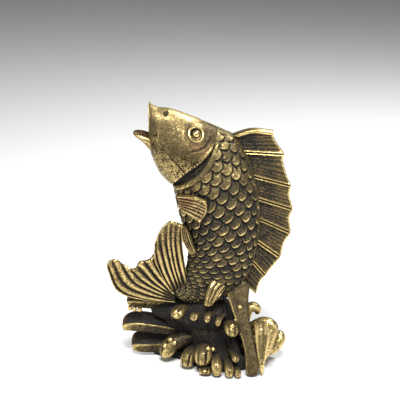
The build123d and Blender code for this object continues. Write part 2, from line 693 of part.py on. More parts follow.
def claw(root, tip, hump, width, thickness, lean):
    """A claw of water from its root over a hump down to a rounded tip."""
    start = spot(root[0], root[2], root[1])
    end = spot(tip[0], tip[2], tip[1])
    knee = Vector(end.X, end.Y, end.Z + hump * FIGURE_HEIGHT)
    steps = 10
    ways = [math.sin(math.pi / 2 * i / steps) for i in range(steps + 1)]
    points = [start * (1 - t) ** 2 + knee * (2 * t * (1 - t)) + end * t**2 for t in ways]
    level = Vector(end.Y - start.Y, start.X - end.X, 0).normalized()
    side = level * math.cos(math.radians(lean)) + Vector(0, 0, math.sin(math.radians(lean)))
    forms = [rounded(t, TONGUE_BLUNTNESS if lean else CLAW_BLUNTNESS) for t in ways]
    widths = [width * CLAW_WIDTH * form for form in forms]
    thicknesses = [thickness * CLAW_THICKNESS * form for form in forms]
    return tube(points, side, widths, thicknesses, 12)


def arm(rows, side):
    """An arm of water along a table's rows, rounded at its free end."""
    steps = 5 * (len(rows) - 1)
    shares = [math.sin(math.pi / 2 * i / steps) for i in range(steps + 1)]
    places = [between(rows, (len(rows) - 1) * share) for share in shares]
    ends = [math.sqrt(max(1 - share**ARM_BLUNTNESS, 0.02)) for share in shares]
    points = [spot(x, z, y) for x, y, z, w, h in places]
    widths = [row[3] * CLAW_WIDTH * end for row, end in zip(places, ends)]
    thicknesses = [row[4] * CLAW_THICKNESS * end for row, end in zip(places, ends)]
    return tube(points, side, widths, thicknesses, 12)


ground = Pos(0, 0, -FIGURE_HEIGHT / 2) * Box(2 * FIGURE_LENGTH, 2 * FIGURE_DEPTH, FIGURE_HEIGHT)


def add_wave(name, shape):
    """Adds drops to a piece of water, clips it at the ground and cuts it to what it rests against."""
    for x, y, z in DROP_SHARES.get(name, ()):
        shape = largest(shape + Pos(*spot(x, z, y)) * Sphere(DROP_RADIUS))
    seat(name, shape, envelope, ground, *[piece for other, piece in pieces.items() if other != "trunk"])


for name, rows in ARM_SHARES.items():
    add_wave(name, arm(rows, ACROSS.get(name, Vector(0, 1, 0))))
for name, *form in CLAW_SHARES:
    add_wave(name, claw(*form))

os.makedirs("parts", exist_ok=True)
for name, piece in pieces.items():
    export_step(piece, os.path.join("parts", name + ".step"))
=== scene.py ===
import math
import bpy
import numpy as np
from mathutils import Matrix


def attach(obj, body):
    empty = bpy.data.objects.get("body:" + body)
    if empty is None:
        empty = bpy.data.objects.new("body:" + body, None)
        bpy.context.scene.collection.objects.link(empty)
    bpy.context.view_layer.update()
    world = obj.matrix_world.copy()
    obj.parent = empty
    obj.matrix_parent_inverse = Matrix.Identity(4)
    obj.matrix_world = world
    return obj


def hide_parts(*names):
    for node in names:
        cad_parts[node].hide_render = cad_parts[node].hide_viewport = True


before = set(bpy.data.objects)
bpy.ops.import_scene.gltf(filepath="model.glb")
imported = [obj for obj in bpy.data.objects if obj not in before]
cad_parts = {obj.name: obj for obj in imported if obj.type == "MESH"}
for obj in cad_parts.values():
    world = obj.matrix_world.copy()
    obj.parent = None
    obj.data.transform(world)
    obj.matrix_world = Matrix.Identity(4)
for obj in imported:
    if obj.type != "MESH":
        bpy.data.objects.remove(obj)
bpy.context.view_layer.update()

# Trunk of the carp: one casting from the gills to the tail's root, its scales carved in the wax in
# staggered rows, each a dished tile with a raised round rim that points to the tail. Like the whole
# figure it is brass, dipped in a dark patina and rubbed back, so that proud edges are bright gold.
mm = 0.001
figure_length = 34.5 * mm
figure_height = 50.0 * mm
figure_depth = 21.5 * mm
body_thickness = 12.4 * mm
body_shares = (
    (-0.313, 0.872, -0.311, 1.000, 0.37), (-0.311, 0.832, -0.270, 0.981, 0.48),
    (-0.291, 0.784, -0.200, 0.974, 0.63), (-0.259, 0.738, -0.117, 0.954, 0.79),
    (-0.223, 0.708, -0.024, 0.927, 0.89), (-0.190, 0.694, 0.070, 0.897, 0.91),
    (-0.174, 0.646, 0.145, 0.868, 0.94), (-0.158, 0.590, 0.209, 0.800, 0.98),
    (-0.137, 0.530, 0.248, 0.713, 1.00), (-0.112, 0.470, 0.274, 0.616, 0.97),
    (-0.111, 0.424, 0.278, 0.518, 0.90), (-0.117, 0.385, 0.258, 0.432, 0.81),
    (-0.127, 0.352, 0.226, 0.352, 0.71), (-0.139, 0.330, 0.162, 0.282, 0.61),
    (-0.156, 0.315, 0.075, 0.234, 0.53), (-0.178, 0.305, -0.029, 0.218, 0.45),
    (-0.203, 0.297, -0.150, 0.229, 0.35),
)
neck = 4.65
tail_root = 16
scale_columns = 18
scale_row_share = 0.30
neck_row_share = 0.22
full_row_share = 3.0
scale_relief = 0.34 * mm
scale_dish = 0.10 * mm
scale_rim = 0.07 * mm
scale_lift = 0.12 * mm
scale_dome = 0.20 * mm
scale_edge_drop = 0.10 * mm
scale_ray_height = 0.014 * mm
back_band_rise = 0.04 * mm
back_band_inside = 1.15 * mm
back_band_outside = 1.75 * mm
gill_slot_depth = 0.65 * mm
nape_angle = math.radians(38)
flank_angle = math.radians(72)
gill_step = math.radians(15)
gill_shares = (
    (0.00, 0.03, 0.20), (0.05, 0.08, 0.27), (0.16, 0.20, 0.46), (0.31, 0.38, 0.73), (0.42, 0.56, 1.01),
    (0.43, 0.78, 1.24), (0.36, 0.92, 1.36), (0.17, 0.94, 1.36), (0.06, 0.80, 1.24), (0.06, 0.66, 1.06),
    (0.05, 0.52, 0.86), (0.02, 0.42, 0.72), (0.00, 0.38, 0.66),
)
# The golds colour rubbed brass and painted highlights alike, and the black colours both patina and painted
# shade
skin_browns = (0.092, 0.067, 0.031), (0.172, 0.132, 0.060)
rubbed_and_highlight_golds = (0.60, 0.43, 0.155), (0.90, 0.71, 0.32)
copper_red = (0.150, 0.058, 0.034)
patina_and_shade_black = (0.0125, 0.0118, 0.0115)
pore_brown = (0.030, 0.020, 0.010)
cloud_size = 3.2 * mm
grain_size = 0.34 * mm
fine_grain_size = 0.13 * mm
pore_patch_size = 0.9 * mm
pore_spacing = 0.25 * mm
usual_hollow_reach = 1.2 * mm


def add_node(tree, kind, links=None, **values):
    """Adds a shader node, sets its fields and links its inputs by name or number."""
    node = tree.nodes.new(kind)
    for key, value in values.items():
        setattr(node, key, value)
    for socket, source in (links or {}).items():
        if isinstance(source, bpy.types.NodeSocket):
            tree.links.new(source, node.inputs[socket])
        else:
            node.inputs[socket].default_value = source
    return node


def ramp_between(tree, value, low, high, start=0.0, end=1.0):
    """A smooth step of a value from low to high."""
    ends = {"Value": value, "From Min": low, "From Max": high, "To Min": start, "To Max": end}
    return add_node(tree, "ShaderNodeMapRange", ends, interpolation_type="SMOOTHSTEP").outputs["Result"]


def arithmetic(tree, operation, first, second, clamp=False):
    """One math node between two values."""
    ends = {0: first, 1: second}
    return add_node(tree, "ShaderNodeMath", ends, operation=operation, use_clamp=clamp).outputs[0]


def blend_colours(tree, factor, first, second):
    """A mix of two colours."""
    node = add_node(tree, "ShaderNodeMix", data_type="RGBA")
    tree.links.new(factor, node.inputs["Factor"])
    for name, value in (("A", first), ("B", second)):
        socket = next(s for s in node.inputs if s.name == name and s.type == "RGBA")
        if isinstance(value, bpy.types.NodeSocket):
            tree.links.new(value, socket)
        else:
            socket.default_value = (*value, 1.0)
    return next(s for s in node.outputs if s.type == "RGBA")


def build_patina_group():
    """Where the dark patina stays and where the brass is rubbed bright."""
    group = bpy.data.node_groups.new("rubbed_patina", "ShaderNodeTree")
    inputs = {"Relief And Painted Light": 0.5, "Wear And Painted Light": 0.5, "Pitting": 0.0, "Hollow Reach": usual_hollow_reach}
    inputs.update({"Red": 0.0, "Speckle": 1.0})
    for name, default in inputs.items():
        socket = group.interface.new_socket(name, in_out="INPUT", socket_type="NodeSocketFloat")
        socket.default_value = default
    group.interface.new_socket("Colour", in_out="OUTPUT", socket_type="NodeSocketColor")
    for name in ("Roughness", "Metallic", "Height"):
        group.interface.new_socket(name, in_out="OUTPUT", socket_type="NodeSocketFloat")
    given = add_node(group, "NodeGroupInput").outputs
    place = add_node(group, "ShaderNodeTexCoord").outputs["Object"]

    def noise(size, detail, offset=0.0):
        shift = add_node(group, "ShaderNodeVectorMath", {0: place, 1: (offset,) * 3}, operation="ADD")
        ends = {"Vector": shift.outputs[0], "Scale": 1.0 / size, "Detail": detail, "Roughness": 0.6}
        return add_node(group, "ShaderNodeTexNoise", ends).outputs["Fac"]

    def plus(first, second, share=1.0, clamp=False):
        """One value and a share of another."""
        return arithmetic(group, "ADD", first, arithmetic(group, "MULTIPLY", second, share), clamp)

    cloud = noise(cloud_size, 4.0)
    grain = noise(grain_size, 3.0, 0.02)
    fine = noise(fine_grain_size, 2.0, 0.05)
    hollow = add_node(group, "ShaderNodeAmbientOcclusion", {"Distance": given["Hollow Reach"]}, samples=12)
    open_share = ramp_between(group, hollow.outputs["AO"], 0.30, 0.92)

    # Relief, wear and openness together say how much the polishing cloth reached; relief and wear also carry
    # painted light and shade
    reach = plus(arithmetic(group, "MULTIPLY", given["Relief And Painted Light"], open_share), given["Wear And Painted Light"], 0.55)
    reach = plus(reach, arithmetic(group, "SUBTRACT", cloud, 0.5), 0.75)
    reach = plus(reach, arithmetic(group, "SUBTRACT", grain, 0.5), given["Speckle"])
    # Low reach keeps the patina black, which also serves as painted shade; high reach shows gold, which also
    # serves as painted highlight
    kept_patina_and_shade = ramp_between(group, reach, 0.06, 0.52)
    bright = ramp_between(group, reach, 0.42, 1.18)

    # Casting pores are round dark pits that come in patches
    cell_inputs = {"Vector": place, "Scale": 1.0 / pore_spacing, "Randomness": 1.0}
    cells = add_node(group, "ShaderNodeTexVoronoi", cell_inputs)
    pore_size = ramp_between(group, noise(pore_patch_size, 2.0, 0.09), 0.30, 0.60, 0.34, 0.60)
    pore = ramp_between(group, arithmetic(group, "SUBTRACT", pore_size, cells.outputs["Distance"]), 0.0, 0.12)
    pore = arithmetic(group, "MULTIPLY", pore, given["Pitting"])

    colour = blend_colours(group, cloud, *skin_browns)
    colour = blend_colours(group, bright, colour, blend_colours(group, grain, *rubbed_and_highlight_golds))
    rust = arithmetic(group, "MULTIPLY", given["Red"], ramp_between(group, cloud, 0.30, 0.65))
    colour = blend_colours(group, rust, colour, copper_red)
    colour = blend_colours(group, kept_patina_and_shade, patina_and_shade_black, colour)
    colour = blend_colours(group, pore, colour, pore_brown)

    rough = ramp_between(group, reach, 0.0, 1.2, 0.72, 0.26)
    rough = plus(rough, ramp_between(group, fine, 0.25, 0.75, -0.08, 0.10))
    rough = plus(rough, pore, 0.25, clamp=True)
    metal = ramp_between(group, reach, 0.06, 0.62)
    height = plus(arithmetic(group, "MULTIPLY", grain, 0.6), fine, 0.35)
    height = plus(height, pore, -2.2)
    results = {"Colour": colour, "Roughness": rough, "Metallic": metal, "Height": height}
    add_node(group, "NodeGroupOutput", results)
    return group


rubbed_patina = build_patina_group()


def brass(name, hollow_reach=usual_hollow_reach, grain_depth=0.055 * mm, speckle=1.2):
    """A brass finish that reads each mesh's own relief, wear, pores and redness; relief and wear also carry
    painted light and shade.
    """
    material = bpy.data.materials.new(name)
    material.use_nodes = True
    tree = material.node_tree
    shader = tree.nodes["Principled BSDF"]
    patina = add_node(tree, "ShaderNodeGroup", node_tree=rubbed_patina)
    for field, socket in (("relief", "Relief And Painted Light"), ("wear", "Wear And Painted Light"), ("pits", "Pitting"), ("red", "Red")):
        given = add_node(tree, "ShaderNodeAttribute", attribute_name=field).outputs["Fac"]
        tree.links.new(given, patina.inputs[socket])
    patina.inputs["Hollow Reach"].default_value = hollow_reach
    patina.inputs["Speckle"].default_value = speckle
    height = patina.outputs["Height"]
    bump = add_node(tree, "ShaderNodeBump", {"Height": height, "Strength": 1.0, "Distance": grain_depth})
    tree.links.new(patina.outputs["Colour"], shader.inputs["Base Color"])
    tree.links.new(patina.outputs["Roughness"], shader.inputs["Roughness"])
    tree.links.new(patina.outputs["Metallic"], shader.inputs["Metallic"])
    tree.links.new(bump.outputs["Normal"], shader.inputs["Normal"])
    shader.inputs["Specular IOR Level"].default_value = 0.15
    return material


def between(rows, at):
    """Rows of a table at fractional places, on a smooth curve through the rows."""
    rows = np.asarray(rows, float)
    last = len(rows) - 1
    padded = np.vstack([2 * rows[:1] - rows[1:2], rows, 2 * rows[-1:] - rows[-2:-1]])
    at = np.asarray(at, float)
    i = np.clip(np.floor(at).astype(int), 0, last - 1)
    f = (at - i)[..., None]
    a, b, c, d = padded[i], padded[i + 1], padded[i + 2], padded[i + 3]
    return 0.5 * (2 * b + (c - a) * f + (2 * a - 5 * b + 4 * c - d) * f**2 + (3 * b - a - 3 * c + d) * f**3)


def girth(at):
    """Middle, half height as a vector and half width of the body."""
    row = between(body_shares, at)
    flat = np.zeros(row.shape[:-1])
    belly = np.stack([row[..., 0] * figure_length, flat, row[..., 1] * figure_height], axis=-1)
    back = np.stack([row[..., 2] * figure_length, flat, row[..., 3] * figure_height], axis=-1)
    return (belly + back) / 2, (back - belly) / 2, row[..., 4] * body_thickness / 2


def skin(at, angle, rise=0.0):
    """Points of the body's skin; the angle runs from the back by the left flank."""
    at, angle, rise = np.broadcast_arrays(*(np.asarray(value, float) for value in (at, angle, rise)))
    middle, up, half = girth(at)
    tall = np.linalg.norm(up, axis=-1)
    point = middle + up * ((tall + rise) * np.cos(angle) / tall)[..., None]
    point[..., 1] -= (half + rise) * np.sin(angle)
    return point


def turn(count):
    """Equal steps of a full turn."""
    return np.arange(count) * (2 * math.pi / count)


def smooth(value, low, high):
    """A soft step from 0 to 1."""
    t = np.clip((value - low) / (high - low), 0, 1)
    return t * t * (3 - 2 * t)


def ridge(value, centre, width):
    """A soft bump around a value."""
    return np.exp(-(((value - centre) / width) ** 2))


def weighed(weights, masks):
    """The sum of some masks, each times the weight that its name has in the table."""
    return sum(weight * masks[name] for name, weight in weights.items())


def scatter(*keys):
    """A repeatable number from 0 to 1 for each set of keys."""
    total = sum(np.asarray(key, float) * factor for key, factor in zip(keys, (12.9898, 78.233, 37.719)))
    return np.modf(np.abs(np.sin(total) * 43758.5453))[0]


def shell(points, relief, wear, closed=True, **fields):
    """A skin through loops of points: corners, four-sided faces and a value per point for the finish."""
    points = np.asarray(points, float)
    rings, count = points.shape[:2]
    columns = np.arange(count)
    following = (columns + 1) % count
    base = np.arange(rings - 1)[:, None] * count
    above = base + count
    quads = [base + columns, base + following, above + following, above + columns]
    faces = [np.stack(quads, axis=-1).reshape(-1, 4)]
    if closed:
        k = np.arange(count // 2 - 1)
        cap = np.stack([k, k + 1, count - 2 - k, count - 1 - k], axis=1)
        faces += [cap[:, ::-1], cap + (rings - 1) * count]
    faces = np.concatenate(faces)
    vertices = points.reshape(-1, 3)
    corners = vertices[faces] - vertices.mean(axis=0)
    volume = np.einsum("ij,ij->i", corners[:, 0], np.cross(corners[:, 1], corners[:, 2])).sum()
    volume += np.einsum("ij,ij->i", corners[:, 0], np.cross(corners[:, 2], corners[:, 3])).sum()
    if volume < 0:
        faces = faces[:, ::-1]
    values = {"relief": relief, "wear": wear, **fields}
    for key, value in values.items():
        value = np.asarray(value, float)
        if value.ndim == 1 and len(value) == rings:
            value = value[:, None]
        values[key] = np.broadcast_to(value, (rings, count)).ravel()
    return vertices, faces, values


def cast_piece(name, shells, material, stands_for=()):
    """A piece of the casting from one or more skins."""
    offsets = np.cumsum([0] + [len(one[0]) for one in shells])
    vertices = np.concatenate([one[0] for one in shells])
    faces = np.concatenate([one[1] + offset for one, offset in zip(shells, offsets)])
    mesh = bpy.data.meshes.new(name)
    mesh.vertices.add(len(vertices))
    mesh.vertices.foreach_set("co", vertices.ravel())
    mesh.loops.add(faces.size)
    mesh.loops.foreach_set("vertex_index", faces.ravel().astype(np.int32))
    mesh.polygons.add(len(faces))
    mesh.polygons.foreach_set("loop_start", np.arange(0, faces.size, 4, dtype=np.int32))
    mesh.update(calc_edges=True)
    mesh.validate()
    mesh.polygons.foreach_set("use_smooth", np.ones(len(mesh.polygons), bool))
    for field in ("relief", "wear", "pits", "red"):
        values = [one[2].get(field, np.zeros(len(one[0]))) for one in shells]
        layer = mesh.attributes.new(field, "FLOAT", "POINT")
        layer.data.foreach_set("value", np.concatenate(values).astype(np.float32))
    piece = bpy.data.objects.new(name, mesh)
    bpy.context.scene.collection.objects.link(piece)
    mesh.materials.append(material)
    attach(piece, "root")
    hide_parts(*stands_for)


def from_back(angle):
    """The same angle counted from the back on either flank."""
    return np.arccos(np.clip(np.cos(angle), -1, 1))


def gill_place(angle, edge=0):
    """Where the gill cover ends on the body's table, and with edge 1 or 2 the collar starts or ends."""
    return neck + between(gill_shares, from_back(angle) / gill_step)[..., edge]


def open_gill(angle):
    """How far the gill stands open: shut at the nape and open on the flank and the belly."""
    return smooth(from_back(angle), nape_angle, flank_angle)


trunk_steps = 1200
scale_step_shares = (0.012, 0.05, 0.14, 0.28, 0.44, 0.60, 0.74, 0.85, 0.92, 0.965, 0.99, 1.0)
scale_points = 14
nape_places = (6.2, 8.2)
# Place of a painted highlight in the gill slot
painted_glint_angle = math.radians(92)
painted_glint_place = 0.72


def build_trunk():
    """The scaled trunk."""
    places = np.linspace(neck, tail_root, trunk_steps)
    middles, _, halves = girth(places)
    grown = np.minimum((places[1:] - neck) / full_row_share, 1)
    row_share = neck_row_share + (scale_row_share - neck_row_share) * grown
    steps = np.linalg.norm(np.diff(middles, axis=0), axis=1) / (row_share * halves[1:])
    rows = np.concatenate([[0.0], np.cumsum(steps)])
    count = scale_points * scale_columns
    column = np.arange(count) / scale_points
    angle = turn(count)
    bare = np.zeros(count)

    def offset(row):
        return (column + 0.5 * (row % 2)) % 1.0 - 0.5

    def free_edge(row):
        return row + 0.35 + 0.85 * (1 - np.abs(2 * offset(row)) ** 3)

    points, relief, wear = [skin(neck, angle, -scale_relief)], [bare], [bare]
    for row in range(int(rows[-1]) - 1):
        side = 2 * offset(row)
        index = np.floor(column + 0.5 * (row % 2))
        lift = (scatter(row, index) - 0.5) * scale_lift
        tone = scatter(row, index, 3)
        start = np.maximum(free_edge(row - 1), 0.02)
        nape = 1 - smooth(np.interp(row, rows, places), *nape_places)
        for f in scale_step_shares:
            place = np.interp(start + f * (free_edge(row) - start), rows, places)
            small = np.clip(girth(place)[2] / (0.5 * body_thickness), 0.45, 1.0)
            beside = np.abs(skin(place, angle)[:, 1])
            band = np.where(np.cos(angle) > 0, 1 - smooth(beside, back_band_inside, back_band_outside), 0.0)
            dome = scale_dome * (nape - side**2 * (0.4 + 0.6 * f))
            dish = -scale_dish * (1 - nape) * ridge(f, 0.52, 0.26) * (1 - side**2)
            rim = scale_rim * (1 - 0.5 * nape) * ridge(f, 0.90, 0.07)
            edge = -scale_edge_drop * smooth(f, 0.955, 1.0)
            ramp = -1.25 * scale_relief * (1 - smooth(f, 0.10, 0.62)) + lift * f
            rays = scale_ray_height * np.sin(side * 19.0) * ridge(f, 0.55, 0.25) * (1 - nape)
            rise = (ramp + dome + dish + rim + edge + rays) * small
            rise = rise * (1 - band) + back_band_rise * band

            # The gill cover's slot is cut down into the trunk in front of the collar
            gap = 1 - smooth(place - gill_place(angle, 1), -0.02, 0.10)
            slot = gap * open_gill(angle)
            points.append(skin(place, angle, rise * (1 - gap) - gill_slot_depth * slot))
            # A painted highlight, a glint in the middle of the dark gill slot
            painted_glint = slot * ridge(from_back(angle), painted_glint_angle, 0.35) * ridge(place, neck + painted_glint_place, 0.10)

            # Rims are proud and rubbed bright; the roots of the scales lie dark, in patina and painted shade
            inner = (0.21 + 0.27 * nape) * smooth(f, 0.19, 0.46) - 0.04 * ridge(f, 0.6, 0.15)
            tall = inner + (0.54 - 0.38 * nape) * ridge(f, 0.925, 0.065) + 0.10 * (tone - 0.5)
            tall = tall - 0.30 * np.abs(side) ** 6
            relief.append(np.clip(tall * (1 - band) + 0.36 * band, 0, 1) * (1 - slot) + 0.40 * painted_glint)
            worn = 0.16 * tone * smooth(f, 0.2, 0.8)
            worn = worn + (0.42 - 0.27 * nape) * ridge(f, 0.92, 0.07) + 0.10 * nape
            wear.append((worn * (1 - band) + 0.16 * band) * (1 - slot) + 0.20 * painted_glint)
    points.append(skin(tail_root, angle, -scale_relief))
    trunk_shell = shell(points, np.array([*relief, bare]), np.array([*wear, bare]))
    cast_piece("scaled_trunk", [trunk_shell], brass("scale_brass"), ("trunk",))


build_trunk()


# Head of the carp: a smooth cone with an open mouth, thick gill covers that lap over the neck, two
# nostrils and fine creases. A painted highlight keeps the crown bright, and the cheeks are full of casting
# pores.
gill_rise = 0.30 * mm
mouth_wall = 0.75 * mm
mouth_place_shares = ((1.15, 2.40), (0.90, 1.60), (0.50, 1.15), (0.22, 1.0), (0.06, 0.97), (-0.01, 0.85))
lip_place_shares = ((-0.035, 0.62), (-0.045, 0.38), (-0.03, 0.14))
lip_rise = 0.10 * mm
lip_groove_depth = 0.16 * mm
nostril_depth = 0.70 * mm
nostril_radius = 0.26 * mm
gill_edge = ((0.035, 0.20 * mm), (0.03, -0.10 * mm), (-0.02, -0.45 * mm))
crown_half_width = 0.5 * mm
cheek_start = 0.4 * mm
cheek_full = 1.0 * mm

# Lines and spots on each cheek, seen from the side, in mm
cheek_lines = {
    "under_eye": ((-2.96, 42.14), (-1.54, 42.35), (-0.47, 43.06), (0.41, 44.3)),
    "cheek": ((-7.27, 41.53), (-5.82, 39.91), (-4.01, 37.98)),
    "dimple": ((-6.23, 44.5), (-6.0, 44.7)),
    "nostril": ((-7.74, 48.23), (-7.64, 48.27)),
    "eye": ((-2.27, 44.91), (-2.23, 44.97)),
}

# Each groove or ridge along a line: how far off it, how wide and how deep, in mm
cheek_carving = (
    ("under_eye", 0.00, 0.10, 0.17),
    ("cheek", 0.00, 0.08, 0.15),
    ("dimple", 0.00, 0.16, 0.17),
    ("under_eye", 0.38, 0.22, -0.05),
    ("eye", 1.72, 0.16, 0.02),
    ("nostril", 0.50, 0.16, -0.06),
)

# The darker streak along a line: how far off it and how wide, in mm
head_shading = (("under_eye", 0.0, 0.10), ("cheek", 0.0, 0.09), ("eye", 1.8, 0.30), ("nostril", 0.0, 0.30))

# Round patches of another tone: the middle, the half length and the half height, in mm. The patches on the
# mid cheek, at the snout and on the snout's flank are painted shade, the one by the mouth's lower corner is
# painted light with more pores, and the reddish one is copper red.
head_patches = {
    "shaded": (-6.1, 44.7, 2.5, 2.2),
    "painted_snout_shade": (-10.05, 46.9, 0.75, 2.3),
    "painted_light_and_pores_corner": (-9.4, 43.4, 1.5, 1.8),
    "painted_shade_on_glare": (-8.2, 47.0, 1.7, 0.9),
    "reddish": (-1.6, 42.4, 2.56, 1.6),
}

# Tones that come in from one height to another, in mm; the first brightens the head towards the crown as a
# painted highlight
head_heights = {"high": (40.0, 48.0), "cheek_up": (40.5, 43.8), "crown_up": (45.6, 47.2)}
lower_heights = (43.5, 38.5)

# How much each tone adds to relief, wear and pores; the rise towards the crown is a painted highlight, the
# patches on the snout, its flank, the mid cheek and behind the eye are painted shade, and the patch by the
# mouth's lower corner is painted light
head_relief = {
    "ground": 0.26, "high": 0.24, "lip": 0.45, "gill": 0.40, "lower": 0.30,
    "under_eye": -0.8, "cheek": -0.9, "nostril": -1.1, "eye": -0.15,
}
head_wear = {
    "ground": 0.19, "high": 0.28, "lip": 0.25, "gill": 0.20, "lower": 0.22,
    "painted_shade_on_glare": -0.30, "painted_snout_shade": -0.34, "shaded": -0.32, "painted_light_and_pores_corner": 0.26, "painted_shade_and_pores_behind_eye": -0.26,
}
head_pits = {
    "ground": 1.0, "cheek_up": -0.55, "crown_up": -0.25, "painted_light_and_pores_corner": 0.8, "painted_shade_and_pores_behind_eye": 0.30, "reddish": -0.4,
}


def distance_to_line(points, line):
    """How far points lie from a bent line, seen from the side."""
    nearest = np.full(points.shape[:-1], 1.0)
    flat = points[..., [0, 2]]
    line = np.asarray(line, float) * mm
    for a, b in zip(line, line[1:]):
        t = np.clip(((flat - a) @ (b - a)) / ((b - a) @ (b - a)), 0, 1)
        nearest = np.minimum(nearest, np.linalg.norm(flat - a - t[..., None] * (b - a), axis=-1))
    return nearest


def head_masks(points, near, shares, angle):
    """Where on the head each of its tones lies, by name."""
    x, z = points[..., 0] / mm, points[..., 2] / mm
    masks = {"ground": 1.0, "lip": ridge(shares, 0.0, 0.040)}
    for name, (x_middle, z_middle, long, tall) in head_patches.items():
        masks[name] = ridge(np.hypot((x - x_middle) / long, (z - z_middle) / tall), 0, 1)
    for name, at, width in head_shading:
        masks[name] = ridge(near[name], at * mm, width * mm)
    masks["gill"] = ridge(shares, 1.0, 0.022) * open_gill(angle)
    for name, (low, high) in head_heights.items():
        masks[name] = smooth(z, low, high)
    masks["lower"] = smooth(-z, -lower_heights[0], -lower_heights[1])
    # Behind the eye the crown is dimmed as painted shade and gets more pores
    masks["painted_shade_and_pores_behind_eye"] = smooth(x, -2.2, 0.6) * smooth(z, 43.0, 45.0)
    return masks


def build_head():
    """The head with its mouth, gill covers and creases."""
    angle = turn(224)
    points, shares = [], []
    for place, grow in (*mouth_place_shares, *lip_place_shares):
        points.append(skin(place, angle, -mouth_wall * grow))
        shares.append(0.0 if (place, grow) in lip_place_shares else -1.0)
    for share in np.linspace(0, 1, 130):
        rise = gill_rise * np.maximum(0, (share - 0.8) / 0.2) ** 2 * (0.08 + 0.92 * open_gill(angle))
        lip = lip_rise * ridge(share, 0.0, 0.03) - lip_groove_depth * ridge(share, 0.075, 0.03)
        points.append(skin(gill_place(angle) * share, angle, rise + lip))
        shares.append(share)
    for place, rise in gill_edge:
        points.append(skin(gill_place(angle) + place, angle, rise * (0.1 + 0.9 * open_gill(angle))))
        shares.append(1.0 if rise > 0 else -1.0)
    points = np.array(points)
    shares = np.array(shares)[:, None] + np.zeros(len(angle))
    outer = shares >= 0

    # Creases and nostrils are sunk on both cheeks alike
    outward = points - girth(np.clip(shares, 0, 1) * neck)[0]
    outward /= np.linalg.norm(outward, axis=-1)[..., None]
    near = {name: distance_to_line(points, line) for name, line in cheek_lines.items()}
    beside = np.abs(points[..., 1]) > crown_half_width
    sink = 0
    for name, at, width, depth in cheek_carving:
        sink = sink + depth * mm * ridge(near[name], at * mm, width * mm)
    sink = sink + nostril_depth * ridge(near["nostril"], 0, nostril_radius) * beside
    side = smooth(np.abs(points[..., 1]), cheek_start, cheek_full)
    points = points - outward * (sink * side * outer)[..., None]

    # Lips and gill edge are rubbed bright; the crown carries a painted highlight, the head grows brighter
    # towards the bottom, and patches of painted shade and painted light lie on the cheek and the snout
    masks = head_masks(points, near, shares, angle)
    for name, where in (("under_eye", side), ("cheek", side), ("eye", side), ("nostril", beside)):
        masks[name] = masks[name] * where
    relief = np.clip(weighed(head_relief, masks), 0, 1)
    # The snout and the crown behind the eye are darkened as painted shade, and the snout's flank as painted
    # shade over the lamp's glare
    relief = np.clip(relief - 0.22 * masks["painted_snout_shade"] * (1 - masks["lip"]) - 0.10 * masks["painted_shade_and_pores_behind_eye"], 0, 1)
    relief = np.where(outer, np.clip(relief - 0.14 * masks["painted_shade_on_glare"], 0, 1), 0.12)
    wear = np.where(outer, np.clip(weighed(head_wear, masks), 0, 1), 0.0)
    pits = np.where(outer, np.clip(weighed(head_pits, masks), 0.14, 1), 0.3)
    head_shell = shell(points, relief, wear, pits=pits, red=0.5 * masks["reddish"] * outer)
    head_brass = brass("head_brass", hollow_reach=0.9 * mm, grain_depth=0.03 * mm, speckle=0.55)
    cast_piece("carp_head", [head_shell], head_brass, ("head",))


build_head()


# Collar behind the gills: a smooth band of bare brass that the modeller laid round the neck like a
# rope, with a few pearls near the belly. It is part of the trunk's wax and is only scale-less.
collar_rise = 0.22 * mm
collar_sink = 0.25 * mm
pearl_rise = 0.38 * mm
pearl_angles = [math.radians(at) for at in (121, 134, 147, 213, 226, 239)]
pearl_spread = 0.075


def build_collar():
    """The band between gill cover and scales."""
    angle = turn(240)
    start, end = gill_place(angle, 1), gill_place(angle, 2)
    points, relief, wear = [], [], []
    belly = ridge(angle, math.pi, 0.75)
    shut = 1 - open_gill(angle)
    pearl = sum(ridge(angle, at, pearl_spread) for at in pearl_angles)
    for share in (-0.02, 0.0, *np.linspace(0.03, 0.97, 22), 1.0, 1.02):
        f = np.clip(share, 0, 1)
        hump = math.sqrt(max(1 - abs(2 * f - 1) ** 3, 0.0))
        band = (collar_sink + collar_rise * (1 - 0.8 * shut)) * hump - collar_sink
        points.append(skin(start + f * (end - start), angle, band + pearl_rise * pearl * ridge(f, 0.45, 0.3)))
        relief.append(0.20 + 0.18 * hump * (1 - shut) + 0.20 * shut + 0.25 * pearl + 0.25 * hump * belly)
        # A painted highlight along the collar's front edge, next to the gill slot
        painted_edge_light = ridge(f, 0.10, 0.08) * (1 - shut)
        worn = 0.12 * hump * (1 - shut) + 0.26 * shut * (1 - f)
        wear.append(worn + 0.45 * pearl + 0.20 * hump * belly + 0.25 * painted_edge_light)
    collar_brass = brass("collar_brass", hollow_reach=0.8 * mm)
    cast_piece("smooth_collar", [shell(points, relief, wear)], collar_brass, ("gill_collar",))


build_collar()


# Lower jaw: a small scooped lip that stands out below the open mouth. Its rim is rubbed bright and
# the cup keeps a reddish brown where the cloth did not reach.
jaw_shares = (
    (-0.275, 0.846, 0.36, 0.33), (-0.310, 0.858, 0.38, 0.28), (-0.345, 0.873, 0.37, 0.17),
    (-0.375, 0.881, 0.31, 0.10), (-0.395, 0.885, 0.17, 0.04),
)
jaw_scoop_share = 0.74
jaw_scoop_depth_share = 0.95
jaw_steps = 48
jaw_closing_steps = 5
jaw_arc_points = 24
jaw_arc_overrun = 0.52


